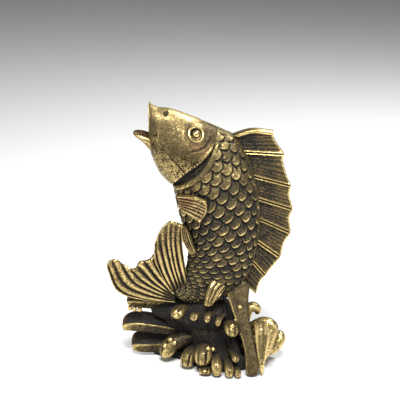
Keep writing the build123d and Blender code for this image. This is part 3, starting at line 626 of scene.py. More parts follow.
def build_jaw():
    """The jaw as a cup with a rolled rim."""
    rows = between(jaw_shares, np.linspace(0, len(jaw_shares) - 1, jaw_steps + 1))
    half_arc = np.linspace(-jaw_arc_overrun, math.pi + jaw_arc_overrun, jaw_arc_points)
    bare = np.zeros(len(half_arc))
    cup = np.concatenate([bare, bare + 1])
    rim = np.concatenate([ridge(half_arc, half_arc[0], 0.5) + ridge(half_arc, half_arc[-1], 0.5)] * 2)
    depth = np.sin(np.clip(half_arc[::-1], 0, math.pi))
    points, relief, wear, red = [], [], [], []
    for i, (x, z, wide, tall) in enumerate(rows):
        centre = np.array([x * figure_length, 0, z * figure_height])
        width, height = wide * body_thickness / 2, tall * body_thickness / 2
        closing = min(1.0, (jaw_steps - i) / jaw_closing_steps)
        outer = np.stack([bare, np.cos(half_arc) * width, -np.sin(half_arc) * height], axis=1)
        inner_side = np.cos(half_arc[::-1]) * width * jaw_scoop_share * closing
        floor = outer[0, 2] - depth * height * jaw_scoop_depth_share * closing
        inner = np.stack([bare, inner_side, floor], axis=1)
        points.append(np.concatenate([outer, inner]) + centre)
        tip = smooth(i / jaw_steps, 0.8, 1.0)
        relief.append(np.clip(0.45 + 0.55 * rim + 0.3 * tip - 0.10 * cup * (1 - rim), 0, 1))
        wear.append(np.clip(0.45 + 0.50 * rim + 0.4 * tip - 0.15 * cup * (1 - rim), 0, 1))
        red.append(cup * (1 - 0.8 * rim) * 0.9)
    jaw_shell = shell(points, relief, wear, red=red, pits=0.35)
    cast_piece("jaw_cup", [jaw_shell], brass("jaw_brass"), ("lower_jaw",))


build_jaw()


# Eyes: a round bead set in a ring of wire on each side of the head. Both stand proud, so they are
# rubbed bright, and the groove between them holds black patina.
eye_ring_radius = 1.36 * mm
eye_ring_wire = 0.30 * mm
eye_bead_radius = 0.70 * mm
eye_floor_depth = 0.50 * mm
eye_rim_depth = 0.12 * mm
eye_bead_seat_depth = 0.10 * mm
eye_place_share = 3.86
eye_angle = math.radians(45)
eye_points = 72
eye_brass = brass("eye_brass", hollow_reach=0.8 * mm, grain_depth=0.01 * mm, speckle=0.3)


def revolved(origin, axis, profile, count=eye_points):
    """Loops of points round an axis from pairs of radius and height."""
    axis = axis / np.linalg.norm(axis)
    first = np.cross(axis, (0, 0, 1.0))
    first /= np.linalg.norm(first)
    second = np.cross(axis, first)
    around = turn(count)[:, None]
    loops = [origin + axis * h + r * (first * np.cos(around) + second * np.sin(around)) for r, h in profile]
    return np.array(loops)


def build_eye(side, suffix):
    """Ring and bead of one eye."""
    up, half = girth(eye_place_share)[1:]
    tall = np.linalg.norm(up)
    spot = skin(eye_place_share, eye_angle)
    axis = up / tall * (math.cos(eye_angle) / tall) + np.array([0, -math.sin(eye_angle) / half, 0])
    flip = np.array([1, side, 1])
    around = np.linspace(-math.pi / 2, 3 * math.pi / 2, 33)
    ring = [(eye_ring_radius + eye_ring_wire * math.cos(a), eye_ring_wire * math.sin(a)) for a in around]
    tone = (0.35 + 0.65 * np.maximum(np.sin(around), 0))[:, None] + np.zeros(eye_points)
    ring_shell = shell(revolved(spot, axis, ring) * flip, 0.8 * tone, 0.3 * tone, closed=False)
    cast_piece("eye_wire_" + suffix, [ring_shell], eye_brass, ("eye_ring_" + suffix,))
    rise = np.linspace(-0.45, math.pi / 2 - 0.02, 26)
    bead = [(eye_bead_radius * math.cos(a), eye_bead_radius * (math.sin(a) - 0.02)) for a in rise]
    floor = [(eye_bead_radius * 0.3, -eye_floor_depth), (eye_ring_radius, -eye_rim_depth)]
    floor.append((eye_bead_radius, -eye_bead_seat_depth))
    tone = np.concatenate([np.zeros(len(floor)), np.clip(0.15 + 1.1 * np.sin(rise), 0, 1)])
    tone = tone[:, None] + np.zeros(eye_points)
    bead_shell = shell(revolved(spot, axis, floor + bead) * flip, tone, 0.8 * tone)
    cast_piece("eye_bead_" + suffix, [bead_shell], eye_brass, ("eye_" + suffix,))


build_eye(1, "left")
build_eye(-1, "right")


# Dorsal fin: a long ribbed sail, carved on both sides. Strong double ribs end in small points, fine
# rays fill the panels between them, and the thick leading edge and the thin hem are rubbed bright.
fin_root_thickness = 1.10 * mm
fin_edge_thickness = 0.60 * mm
dorsal_shares = (
    (5.55, 0.343, 0.894), (6.10, 0.348, 0.861), (6.70, 0.399, 0.806), (7.05, 0.394, 0.782),
    (7.40, 0.418, 0.721), (7.80, 0.440, 0.686), (8.25, 0.433, 0.648), (8.70, 0.452, 0.595),
    (9.10, 0.436, 0.558), (9.50, 0.444, 0.503), (9.95, 0.410, 0.459), (10.45, 0.392, 0.406),
    (10.90, 0.342, 0.359), (11.40, 0.313, 0.331), (11.90, 0.283, 0.303), (12.60, 0.263, 0.254),
)
main_rays = (0, 2, 5, 7, 9, 11, 13, 15)
fine_rays_between_mains = (0, 7, 8, 7, 7, 7, 6, 6)
sail_arch = 0.85 * mm
sail_rib_offset = 0.30 * mm
sail_rib_width = 0.19 * mm
sail_rib_height = 0.34 * mm
sail_rib_groove = 0.08 * mm
sail_groove_width = 0.10 * mm
sail_skirt_height = 0.18 * mm
sail_skirt_width = 0.62 * mm
sail_skirt_slimming = 0.16 * mm
sail_ray_height = 0.085 * mm
sail_lead_height = 0.36 * mm
sail_lead_middle = 0.50 * mm
sail_lead_reach = 0.62 * mm
sail_lead_inside = 0.55 * mm
sail_lead_outside = 1.00 * mm
sail_hem_height = 0.08 * mm
sail_hem_width = 0.16 * mm
hem_rounding = 0.28 * mm


def place_points(lines):
    """Lines of points given by shares of length, depth and height."""
    return np.array(lines) * np.array([figure_length, figure_depth, figure_height])


def fin_sheet(lines, steps, rays):
    """A fine grid of points through a fin's lines, with its normals."""
    lines = np.asarray(lines)
    rows, count = lines.shape[:2]
    down = between(lines.reshape(rows, -1), np.linspace(0, rows - 1, steps + 1)).reshape(steps + 1, count, 3)
    turned = down.transpose(1, 0, 2).reshape(count, -1)
    grid = between(turned, np.linspace(0, count - 1, rays)).reshape(rays, steps + 1, 3).transpose(1, 0, 2)
    normal = np.cross(np.gradient(grid, axis=0), np.gradient(grid, axis=1))
    normal /= np.linalg.norm(normal, axis=-1)[..., None]
    return grid, normal


def distance_across(grid):
    """How far each point of a sheet lies from its first edge and from its root."""
    across = np.linalg.norm(np.diff(grid, axis=1), axis=-1)
    across = np.concatenate([np.zeros((len(grid), 1)), np.cumsum(across, axis=1)], axis=1)
    along = np.linalg.norm(np.diff(grid, axis=0), axis=-1)
    along = np.concatenate([np.zeros((1, grid.shape[1])), np.cumsum(along, axis=0)], axis=0)
    return across, along


def fin_shell(grid, normal, half, relief, wear, **fields):
    """Two faces of a fin, half a thickness to each side of its sheet and rounded at the hem."""
    across, along = distance_across(grid)
    hem = np.minimum(np.minimum(across, across[:, -1:] - across), along[-1:] - along)
    f = np.clip(hem / hem_rounding, 0, 1)
    half = half * np.clip(np.sqrt(1 - (1 - f) ** 2), 0.12, 1)
    both = [np.concatenate([a, a[:, ::-1]], axis=1) for a in (relief, wear)]
    fields = {key: np.concatenate([a, a[:, ::-1]], axis=1) for key, a in fields.items()}
    front = grid + normal * half[..., None]
    back = grid - normal * half[..., None]
    return shell(np.concatenate([front, back[:, ::-1]], axis=1), *both, **fields)


def build_dorsal():
    """The dorsal fin."""
    table = np.array(dorsal_shares)
    roots = skin(table[:, 0], 0.0, -fin_root_thickness / 2)
    tips = place_points([(x, 0, z) for _, x, z in dorsal_shares])
    middles = (roots + tips) / 2
    middles[0, 2] += sail_arch
    steps, rays = 64, 540
    grid, normal = fin_sheet([roots, middles, tips], steps, rays)
    v = np.linspace(0, len(dorsal_shares) - 1, rays)[None, :]
    u = np.linspace(0, 1, steps + 1)[:, None]
    across, along = distance_across(grid)
    reach = np.stack([np.interp(v[0], v[0], row) for row in across])
    mains = np.stack([np.interp(main_rays, v[0], row) for row in across])
    gap = np.min(np.abs(reach[:, :, None] - mains[:, None, :]), axis=-1)
    crest = ridge(gap, sail_rib_offset, sail_rib_width)
    core = ridge(gap, 0.0, sail_groove_width)
    skirt = ridge(gap, 0.0, sail_skirt_width - sail_skirt_slimming * u)
    phase = np.interp(v[0], main_rays, np.cumsum(fine_rays_between_mains))[None, :]
    fine = (0.5 - 0.5 * np.cos(2 * math.pi * phase)) ** 0.6 * (1 - skirt)
    lead = 1 - smooth(across, sail_lead_inside, sail_lead_outside)
    lead_round = np.sqrt(np.clip(1 - ((across - sail_lead_middle) / sail_lead_reach) ** 2, 0, 1))
    hem = ridge(along[-1:] - along, sail_hem_width, sail_hem_width)
    half = (fin_root_thickness + (fin_edge_thickness - fin_root_thickness) * u) / 2 * 0.68
    half = half + sail_rib_height * crest - sail_rib_groove * core + sail_skirt_height * skirt
    half = half + sail_ray_height * fine + sail_hem_height * hem
    half = half + sail_lead_height * lead_round * smooth(u, 0.0, 0.15)
    relief = 0.06 + 0.22 * fine + 0.95 * crest - 0.35 * core + 0.75 * lead + 0.75 * hem
    relief = relief + 0.20 * smooth(u, 0.5, 1.0) * fine
    wear = 0.02 + 0.75 * crest + 0.65 * lead + 0.5 * hem + 0.18 * smooth(u, 0.35, 1.0) - 0.2 * core
    red = 0.12 * (1 - crest) * (1 - lead)
    piece = fin_shell(grid, normal, half, np.clip(relief, 0, 1), np.clip(wear, 0, 1), red=red)
    cast_piece("ribbed_sail", [piece], brass("dorsal_brass", hollow_reach=0.7 * mm), ("dorsal_fin",))


build_dorsal()


# Pectoral and pelvic fins: pairs of small fans set into the flanks. Their webs
# keep a reddish brown patina between bright ribs.
pectoral_shares = (
    ((-0.154, -0.186, 0.676), (-0.142, -0.205, 0.648), (-0.125, -0.214, 0.620)),
    ((-0.081, -0.288, 0.686), (-0.075, -0.307, 0.646), (-0.078, -0.298, 0.604)),
    ((-0.009, -0.326, 0.670), (-0.009, -0.330, 0.628), (-0.043, -0.316, 0.586)),
)
pelvic_shares = (
    ((-0.142, -0.121, 0.548), (-0.125, -0.140, 0.550), (-0.110, -0.153, 0.548)),
    ((-0.136, -0.149, 0.496), (-0.113, -0.172, 0.500), (-0.087, -0.186, 0.504)),
    ((-0.096, -0.167, 0.448), (-0.081, -0.177, 0.442), (-0.064, -0.181, 0.452)),
)
fan_rib_height = 0.15 * mm
fan_groove_depth = 0.14 * mm
fan_border_height = 0.12 * mm
fan_border_place = 0.22 * mm
fan_border_width = 0.26 * mm
fan_hem_height = 0.05 * mm
fan_hem_place = 0.18 * mm
fan_hem_width = 0.20 * mm
small_fin_brass = brass("small_fin_brass", hollow_reach=0.7 * mm)


def ribbed_fan(
    name, shares, ribs, thin, stands_for, material, side=1, steps=56, rays=220,
    red=0.75, strong=1.0, fade=0.65, polish=1.0, narrow=5.0, dull=0.0, root_dark=0.0,
):
    """A fan with plain ribs from root to hem."""
    points = place_points(shares) * np.array([1, side, 1])
    grid, normal = fin_sheet(points, steps, rays)
    v = np.linspace(0, 1, rays)[None, :]
    u = np.linspace(0, 1, steps + 1)[:, None]
    across, along = distance_across(grid)
    bent = v + 0.012 * np.sin(11 * v + 1.3) + 0.006 * np.sin(5 * u + 9 * v)
    wave = 0.5 + 0.5 * np.cos(2 * math.pi * (ribs - 1) * bent)
    rib = wave**0.45
    groove = (1 - wave) ** (narrow * (1 + 1.6 * u))
    border = ridge(np.minimum(across, across[:, -1:] - across), fan_border_place, fan_border_width)
    hem = ridge(along[-1:] - along, fan_hem_place, fan_hem_width)
    web = fin_root_thickness + (fin_edge_thickness - fin_root_thickness) * u
    fading = 1 - fade * smooth(u, 0.50, 0.95)
    half = thin * web / 2 * 0.92 + strong * (fan_rib_height * rib - fan_groove_depth * groove) * fading
    half = half + fan_border_height * border + fan_hem_height * hem
    crown = wave**3
    relief = 0.42 + 0.22 * rib + 0.22 * crown + 0.50 * border + 0.45 * hem + 0.10 * u
    relief = relief * (1 - 1.3 * groove * fading)
    olive = dull * smooth(u, 0.52, 0.80) * (1 - border) * (1 - hem)
    root = root_dark * (1 - smooth(u, 0.02, 0.22))
    relief = relief - 0.30 * olive - 0.45 * root
    wear = 0.10 + 0.30 * crown * (0.4 + 0.6 * u) + 0.50 * border + 0.4 * hem
    wear = (wear - 0.5 * groove * fading - 0.34 * olive - 0.4 * root) * polish
    pits = 0.7 * smooth(u, 0.25, 0.8) * (1 - groove)
    fields = {"red": red * (1 - 0.7 * border) + 0 * u, "pits": pits}
    piece = fin_shell(grid, normal, half, np.clip(relief, 0, 1), np.clip(wear, 0, 1), **fields)
    cast_piece(name, [piece], material, stands_for)


for suffix, side in (("left", 1), ("right", -1)):
    stands_for = ("pectoral_fin_" + suffix,)
    ribbed_fan("pectoral_fan_" + suffix, pectoral_shares, 8, 1.0, stands_for, small_fin_brass, side)
    stands_for = ("pelvic_fin_" + suffix,)
    pelvic = {"polish": 0.35, "narrow": 2.0}
    ribbed_fan("pelvic_fan_" + suffix, pelvic_shares, 6, 0.8, stands_for, small_fin_brass, side, **pelvic)


# Anal fin and tail: heavier fans at the lower end of the body. The tail's two lobes sweep forward
# over the waves, with thick bright ridges and black grooves between them.
anal_shares = (
    ((0.026, -0.140, 0.344), (0.067, -0.140, 0.332), (0.075, -0.135, 0.300)),
    ((-0.003, -0.205, 0.316), (0.026, -0.214, 0.304), (0.052, -0.200, 0.280)),
    ((-0.023, -0.233, 0.252), (0.000, -0.242, 0.246), (0.020, -0.233, 0.254)),
)
upper_lobe_shares = (
    (
        (-0.111, -0.047, 0.313), (-0.134, -0.056, 0.305), (-0.157, -0.058, 0.297),
        (-0.180, -0.055, 0.288), (-0.204, -0.047, 0.278),
    ),
    (
        (-0.130, -0.065, 0.395), (-0.162, -0.084, 0.393), (-0.192, -0.086, 0.386),
        (-0.227, -0.080, 0.371), (-0.256, -0.070, 0.348),
    ),
    (
        (-0.141, -0.107, 0.480), (-0.176, -0.130, 0.487), (-0.213, -0.132, 0.484),
        (-0.251, -0.112, 0.458), (-0.288, -0.095, 0.414),
    ),
    (
        (-0.132, -0.135, 0.552), (-0.169, -0.160, 0.565), (-0.208, -0.158, 0.569),
        (-0.259, -0.130, 0.527), (-0.288, -0.108, 0.474),
    ),
)
lower_lobe_shares = (
    (
        (-0.200, -0.045, 0.274), (-0.196, -0.044, 0.269), (-0.193, -0.042, 0.263),
        (-0.190, -0.040, 0.256), (-0.187, -0.037, 0.248), (-0.184, -0.034, 0.241),
        (-0.181, -0.031, 0.235), (-0.178, -0.028, 0.228),
    ),
    (
        (-0.250, -0.070, 0.348), (-0.263, -0.074, 0.335), (-0.279, -0.076, 0.321),
        (-0.294, -0.074, 0.305), (-0.310, -0.070, 0.289), (-0.326, -0.064, 0.274),
        (-0.342, -0.058, 0.258), (-0.357, -0.052, 0.244),
    ),
    (
        (-0.281, -0.095, 0.400), (-0.300, -0.100, 0.381), (-0.327, -0.104, 0.365),
        (-0.354, -0.104, 0.341), (-0.392, -0.104, 0.329), (-0.432, -0.102, 0.323),
        (-0.469, -0.096, 0.306), (-0.495, -0.088, 0.285),
    ),
    (
        (-0.292, -0.108, 0.433), (-0.318, -0.118, 0.413), (-0.371, -0.124, 0.405),
        (-0.397, -0.126, 0.378), (-0.442, -0.134, 0.388), (-0.494, -0.146, 0.417),
        (-0.532, -0.148, 0.412), (-0.548, -0.140, 0.389),
    ),
)
tail_brass = brass("tail_brass", hollow_reach=0.6 * mm, speckle=0.9)
ribbed_fan("anal_fan", anal_shares, 5, 1.2, ("anal_fin",), tail_brass, red=0.3)
ribbed_fan(
    "upper_tail_lobe", upper_lobe_shares, 7, 1.1, ("tail_fin_upper",), tail_brass, rays=300,
    red=0.2, strong=1.5, fade=0.95, polish=1.35, narrow=2.8, dull=0.45, root_dark=0.6,
)
ribbed_fan(
    "lower_tail_lobe", lower_lobe_shares, 8, 1.1, ("tail_fin_lower",), tail_brass, steps=120,
    red=0.2, strong=1.4, fade=0.3, polish=1.3, narrow=2.4, root_dark=1.0,
)


# Foot, core and shelf of the breaking waves: a low slab to stand on, a fluted neck and an upper tier
# that the body grows out of. They lie deep between the claws and stay almost black.
foot_shares = (
    (-0.394, 0.070), (-0.359, -0.028), (-0.264, -0.074), (-0.177, -0.167), (-0.078, -0.335),
    (0.020, -0.447), (0.104, -0.465), (0.194, -0.465), (0.272, -0.391), (0.330, -0.205),
    (0.383, -0.009), (0.377, 0.186), (0.272, 0.363), (0.116, 0.437), (-0.072, 0.400), (-0.246, 0.260),
)
foot_levels_shares = ((0.000, 0.74, 0.000, 0.00), (0.010, 0.76, 0.000, 0.00), (0.030, 0.70, 0.000, 0.00))
core_levels_shares = (
    (0.030, 0.62, -0.010, 0.01), (0.070, 0.52, -0.020, 0.02), (0.110, 0.50, -0.030, 0.02),
    (0.145, 0.50, -0.045, 0.02),
)
shelf_levels_shares = (
    (0.145, 0.50, -0.045, 0.02), (0.165, 0.56, -0.080, 0.02), (0.195, 0.56, -0.090, 0.02),
    (0.215, 0.48, -0.070, 0.02), (0.235, 0.30, -0.040, 0.02),
)
recess_brass = brass("recess_brass", hollow_reach=3.0 * mm)


def build_tier(name, levels, stands_for, flutes, depth):
    """A stack of the foot's outline at heights, with flutes on its wall."""
    loop = foot_shares[-1:] + foot_shares + foot_shares[:2]
    count, rows_count = 256, 48
    outline = between(loop, 1 + np.arange(count) * len(foot_shares) / count)
    rows = between(levels, np.linspace(0, len(levels) - 1, rows_count))
    angle = turn(count)
    points, relief, wear = [], [], []
    for i, (z, size, dx, dy) in enumerate(rows):
        twist = flutes * angle + 2.0 * i / rows_count
        deep = depth * (0.12 if 0 < i < rows_count - 1 else 0.10)
        flute = 1 - deep * (0.5 + 0.5 * np.cos(twist))
        x = outline[:, 0] * size * flute + dx
        y = outline[:, 1] * size * flute + dy
        height = np.full(count, z * figure_height)
        points.append(np.stack([x * figure_length, y * figure_depth, height], axis=1))
        relief.append(0.02 + 0.05 * (0.5 - 0.5 * np.cos(twist)))
        wear.append(np.zeros(count))
    cast_piece(name, [shell(points, relief, wear)], recess_brass, stands_for)


build_tier("foot_slab", foot_levels_shares, ("base_plate",), 17, 0.25)
build_tier("fluted_core", core_levels_shares, ("wave_core",), 23, 0.3)
build_tier("upper_tier", shelf_levels_shares, ("upper_shelf",), 29, 0.4)


# Arms of water: broad limbs of the splash that rise to the fish and curl at the right. Each is a
# rolled band with a raised rim along both borders and a crease down its middle.
arm_shares = {
    "water_column": (
        (0.157, -0.056, 0.304, 2.10, 0.89), (0.165, -0.140, 0.248, 1.60, 0.72),
        (0.189, -0.251, 0.180, 1.12, 0.67), (0.220, -0.340, 0.116, 1.02, 0.78),
        (0.235, -0.405, 0.060, 1.16, 1.00), (0.234, -0.442, 0.004, 1.42, 1.06),
    ),
    "right_volute": (
        (0.258, -0.112, 0.120, 0.95, 0.89), (0.276, -0.205, 0.162, 1.20, 0.89),
        (0.287, -0.288, 0.178, 1.30, 0.89), (0.291, -0.352, 0.150, 1.25, 0.83),
        (0.286, -0.391, 0.100, 0.88, 0.72), (0.285, -0.419, 0.048, 0.50, 0.55),
        (0.286, -0.428, 0.006, 0.32, 0.42),
    ),
    "right_rim": (
        (0.235, -0.100, 0.140, 0.80, 0.90), (0.300, -0.130, 0.162, 0.95, 1.20),
        (0.345, -0.170, 0.150, 1.00, 1.40), (0.332, -0.200, 0.114, 1.00, 1.40),
        (0.316, -0.230, 0.076, 0.90, 1.15), (0.300, -0.260, 0.030, 0.70, 0.75),
    ),
    "right_shell": (
        (0.190, -0.020, 0.070, 1.60, 1.50), (0.275, -0.045, 0.046, 1.80, 1.70),
        (0.345, -0.060, 0.050, 1.80, 1.60), (0.392, -0.055, 0.080, 1.60, 1.40),
        (0.396, -0.050, 0.112, 1.20, 1.05),
    ),
    "small_curl": (
        (0.196, -0.112, 0.160, 0.90, 1.05), (0.209, -0.100, 0.198, 1.05, 1.10),
        (0.238, -0.090, 0.218, 1.10, 1.00), (0.268, -0.086, 0.210, 1.05, 0.85),
        (0.266, -0.084, 0.188, 0.85, 0.75),
    ),
    "back_leaf": (
        (0.133, 0.047, 0.132, 0.87, 0.78), (0.203, 0.084, 0.148, 0.96, 0.72),
        (0.243, 0.102, 0.144, 0.78, 0.61),
    ),
}
water_brass = brass("water_brass", hollow_reach=0.8 * mm)
column_brass = brass("column_brass", hollow_reach=0.8 * mm, speckle=0.55)
claw_width = 2.30 * mm
claw_thickness = 1.80 * mm
drop_radius = 0.45 * mm
drop_swell = 1.05
limb_points = 72
crease_depth = 0.30 * mm
side_crease_depth = 0.12 * mm
spiral_depth = 0.30 * mm
rim_height = 0.10 * mm
dished_rim_height = 0.30 * mm
lap_drop = 0.30 * mm
hollow_share = 2.6
arm_steps = 120
arm_bluntness = 12
arm_finish = {"crease": 0.3, "dark_root": 0.0, "bare": 0.60, "edge": 0.12}
other_finish = {"water_column": {"plain": 1.0}, "right_volute": {"bare": 0.46}}
drop_shares = {
    "lower_claw_01": ((-0.206, -0.154, 0.096), (-0.183, -0.177, 0.087), (-0.234, -0.177, 0.076)),
    "lower_claw_03": ((-0.001, -0.341, 0.096), (0.025, -0.315, 0.088)),
    "upper_claw_01": ((-0.174, -0.226, 0.221), (-0.172, -0.243, 0.209)),
    "upper_claw_05": ((0.128, -0.346, 0.188),),
    "water_column": ((0.171, -0.190, 0.236),),
    "left_crest": ((-0.432, 0.006, 0.195), (-0.406, -0.001, 0.192), (-0.377, -0.004, 0.190)),
}


def ball(centre, radius):
    """A drop of water."""
    rise = np.linspace(-math.pi / 2 + 0.03, math.pi / 2 - 0.03, 18)
    profile = [(radius * math.cos(a), radius * math.sin(a)) for a in rise]
    return shell(revolved(centre, np.array([0.1, -0.3, 1.0]), profile, 28), 1.0, 0.75)


def water_limb(
    name, points, side, widths, thicknesses, crease=1.0, seed=0, dish=0.0,
    dark_root=0.35, curl=0.0, bare=0.0, edge=0.0, plain=0.0,
):
    """A rolled limb of water with rims, a crease and the drops that sit on it."""
    ahead = np.gradient(points, axis=0)
    up = np.cross(side, ahead)
    up /= np.linalg.norm(up, axis=-1)[:, None]
    around = turn(limb_points)
    across, lift = np.cos(around), np.sin(around)
    shape = np.sign(lift) * np.abs(lift) ** 0.85
    rim, lap = ridge(np.abs(across), 0.80, 0.16), np.zeros(limb_points)
    if dish:
        rim = ridge(across, -0.42, 0.10) + 0.4 * ridge(across, 0.92, 0.08)
        lap = smooth(-across, 0.40, 0.52) * (lift > 0)
    # A painted highlight down the left edge of the plain column
    line = ridge(across, -0.88, 0.10)
    face = np.clip((across + 0.42) / 1.42, 0, 1)
    offset = 0.48 - 0.1 * math.sin(seed)
    second = (ridge(across, -offset, 0.10) + ridge(across, 0.48, 0.10)) * (1 - curl)
    share = np.linspace(0, 1, len(points))
    loops, relief, wear, red, pits = [], [], [], [], []
    for i, point in enumerate(points):
        size = widths[i] / claw_width
        fold = ridge(across, 0.16 * math.sin(3 * share[i] + seed), 0.20)
        fold = fold * (1 - curl) * math.sqrt(min(share[i] * 4, 1))
        near_end = smooth(share[i], 0.74, 0.96) if dish else smooth(share[i], 0.88, 1.0)
        loop = np.hypot((across - 0.10) / 0.50, np.maximum(share[i] - 0.66, 0) / 0.20)
        spiral = curl * ridge(loop, 1.0, 0.17) * (lift > 0) * smooth(share[i], 0.30, 0.50) * (across < 0.62)
        sink = crease * (crease_depth * fold + side_crease_depth * second) * (1 - 0.8 * near_end)
        sink = (sink + spiral_depth * spiral) * size
        swell = (rim_height * crease + dished_rim_height * dish) * rim * size - lap_drop * lap
        hollow = hollow_share * dish * thicknesses[i] * np.clip(lift, 0, 1)
        hollow = hollow * face * (1 - face) * (1 - near_end)
        reach = thicknesses[i] / 2 * shape + np.sign(lift) * (swell - sink) * np.abs(lift) - hollow
        loops.append(point + np.outer(across, side) * widths[i] / 2 + np.outer(reach, up[i]))
        # Free ends brighten as rubbed brass with a painted highlight; dark roots are patina with painted
        # shade
        open_tip = max(smooth(share[i], dark_root, 0.85), bare)
        inside = min(dish * 2, 1) * (lift > 0.1) * (1 - rim) * (1 - near_end) * (1 - lap)
        tall = 0.16 + 0.56 * open_tip + 0.45 * rim * (0.4 + 0.6 * open_tip) + 0.3 * near_end + edge * rim
        tall = tall + (0.02 + 0.20 * open_tip) * lap
        tall = tall - crease * (0.60 * fold + 0.30 * second) - 0.40 * inside - 0.95 * spiral
        # The plain column gets an even olive with a painted highlight down its left edge
        relief.append(tall + plain * (0.34 - tall + 0.10 * near_end + 0.45 * line))
        worn = 0.02 + 0.66 * open_tip + 0.30 * rim * open_tip + 0.25 * near_end + edge * rim
        worn = worn + 0.22 * open_tip * lap
        worn = worn - crease * (0.45 * fold + 0.2 * second) - 0.45 * inside - 0.6 * spiral
        wear.append(worn + plain * (0.10 - worn + 0.30 * near_end + 0.55 * line))
        red.append(0.7 * inside)
        pits.append(0.8 * np.maximum(open_tip * (1 - near_end), lap))
    fields = {"red": np.array(red), "pits": np.array(pits)}
    shells = [shell(loops, np.clip(relief, 0, 1), np.clip(wear, 0, 1), **fields)]
    shells += [ball(place_points([spot])[0], drop_radius * drop_swell) for spot in drop_shares.get(name, ())]
    cast_piece(name + "_water", shells, column_brass if plain else water_brass, (name,))


def build_arm(name, rows, side):
    """An arm of water along a table's rows, rounded at its free end."""
    share = np.sin(math.pi / 2 * np.linspace(0, 1, arm_steps))
    places = between(rows, (len(rows) - 1) * share)
    ends = np.sqrt(np.clip(1 - share**arm_bluntness, 0.02, 1))
    widths, thicknesses = places[:, 3] * claw_width * ends, places[:, 4] * claw_thickness * ends
    finish = {**arm_finish, **other_finish.get(name, {})}
    water_limb(name, place_points(places[:, :3]), side, widths, thicknesses, **finish)


across_length = np.array([1.0, 0.0, 0.0])
across_depth = np.array([0.0, 1.0, 0.0])
for name, rows in arm_shares.items():
    build_arm(name, rows, across_length if name in ("water_column", "right_volute") else across_depth)


# Claws of water: the fringe of curled wave tips round the foot and the upper tier, and the three
# broad tongues at the left. Tips are rubbed bright with a painted highlight on top, and roots vanish in
# patina and painted shade between the tiers.
claw_shares = (
    ("lower_claw_01", (-0.087, -0.060, 0.088), (-0.235, -0.130, 0.016), 0.072, 1.40, 1.62, 0),
    ("lower_claw_02", (-0.075, -0.070, 0.040), (-0.116, -0.288, 0.010), 0.052, 1.20, 1.25, 0),
    ("lower_claw_03", (-0.014, -0.140, 0.056), (-0.029, -0.372, 0.032), 0.070, 1.45, 1.50, 0),
    ("lower_claw_04", (-0.012, -0.233, 0.018), (-0.017, -0.433, 0.010), 0.010, 1.00, 0.80, 0),
    ("lower_claw_05", (0.035, -0.209, 0.044), (0.046, -0.447, 0.006), 0.066, 0.90, 1.15, 0),
    ("lower_claw_06", (0.093, -0.233, 0.032), (0.113, -0.470, 0.006), 0.050, 0.74, 0.90, 0),
    ("lower_claw_07", (0.116, -0.209, 0.064), (0.148, -0.428, 0.058), 0.026, 0.60, 0.75, 0),
    ("lower_claw_08", (0.139, -0.279, 0.020), (0.159, -0.474, 0.006), 0.028, 0.58, 0.72, 0),
    ("lower_claw_09", (-0.087, 0.116, 0.050), (-0.220, 0.242, 0.008), 0.060, 1.13, 1.17, 0),
    ("lower_claw_10", (-0.029, 0.163, 0.050), (-0.104, 0.391, 0.008), 0.060, 1.13, 1.17, 0),
    ("lower_claw_11", (0.029, 0.163, 0.050), (0.023, 0.428, 0.008), 0.064, 1.17, 1.17, 0),
    ("lower_claw_12", (0.087, 0.163, 0.050), (0.142, 0.419, 0.008), 0.060, 1.13, 1.17, 0),
    ("lower_claw_13", (0.145, 0.116, 0.050), (0.267, 0.344, 0.008), 0.060, 1.17, 1.17, 0),
    ("upper_claw_01", (-0.087, 0.000, 0.194), (-0.174, -0.205, 0.190), 0.044, 1.10, 1.06, 0),
    ("upper_claw_02", (-0.043, -0.070, 0.188), (-0.078, -0.260, 0.192), 0.034, 0.70, 0.80, 0),
    ("upper_claw_03", (0.029, -0.093, 0.200), (-0.006, -0.279, 0.188), 0.040, 0.52, 0.61, 0),
    ("upper_claw_04", (0.087, -0.116, 0.190), (0.052, -0.302, 0.178), 0.040, 0.52, 0.61, 0),
    ("upper_claw_05", (0.104, -0.116, 0.150), (0.128, -0.344, 0.144), 0.052, 1.13, 1.22, 0),
    ("upper_claw_06", (-0.087, 0.093, 0.184), (-0.203, 0.260, 0.184), 0.040, 0.96, 1.00, 0),
    ("upper_claw_07", (-0.029, 0.116, 0.184), (-0.072, 0.344, 0.180), 0.040, 0.96, 1.00, 0),
    ("upper_claw_08", (0.043, 0.116, 0.180), (0.064, 0.353, 0.172), 0.040, 0.96, 1.00, 0),
    ("upper_claw_09", (0.101, 0.093, 0.160), (0.186, 0.298, 0.152), 0.040, 0.96, 1.00, 0),
    ("left_scroll", (-0.101, 0.056, 0.048), (-0.424, 0.040, 0.042), 0.018, 2.20, 0.90, 60),
    ("left_blade", (-0.101, 0.047, 0.094), (-0.472, 0.030, 0.112), 0.056, 2.00, 1.00, 46),
    ("left_crest", (-0.072, 0.056, 0.200), (-0.446, 0.050, 0.216), 0.018, 1.60, 0.90, 48),
)
claw_steps = 72
claw_bluntness = 8
tongue_bluntness = 2.6
claw_finish = {"crease": 0.2, "dish": 0.0, "dark_root": 0.12, "edge": 0.0}
tongue_finish = {"crease": 0.2, "dish": 0.35, "dark_root": 0.22, "edge": 0.30}


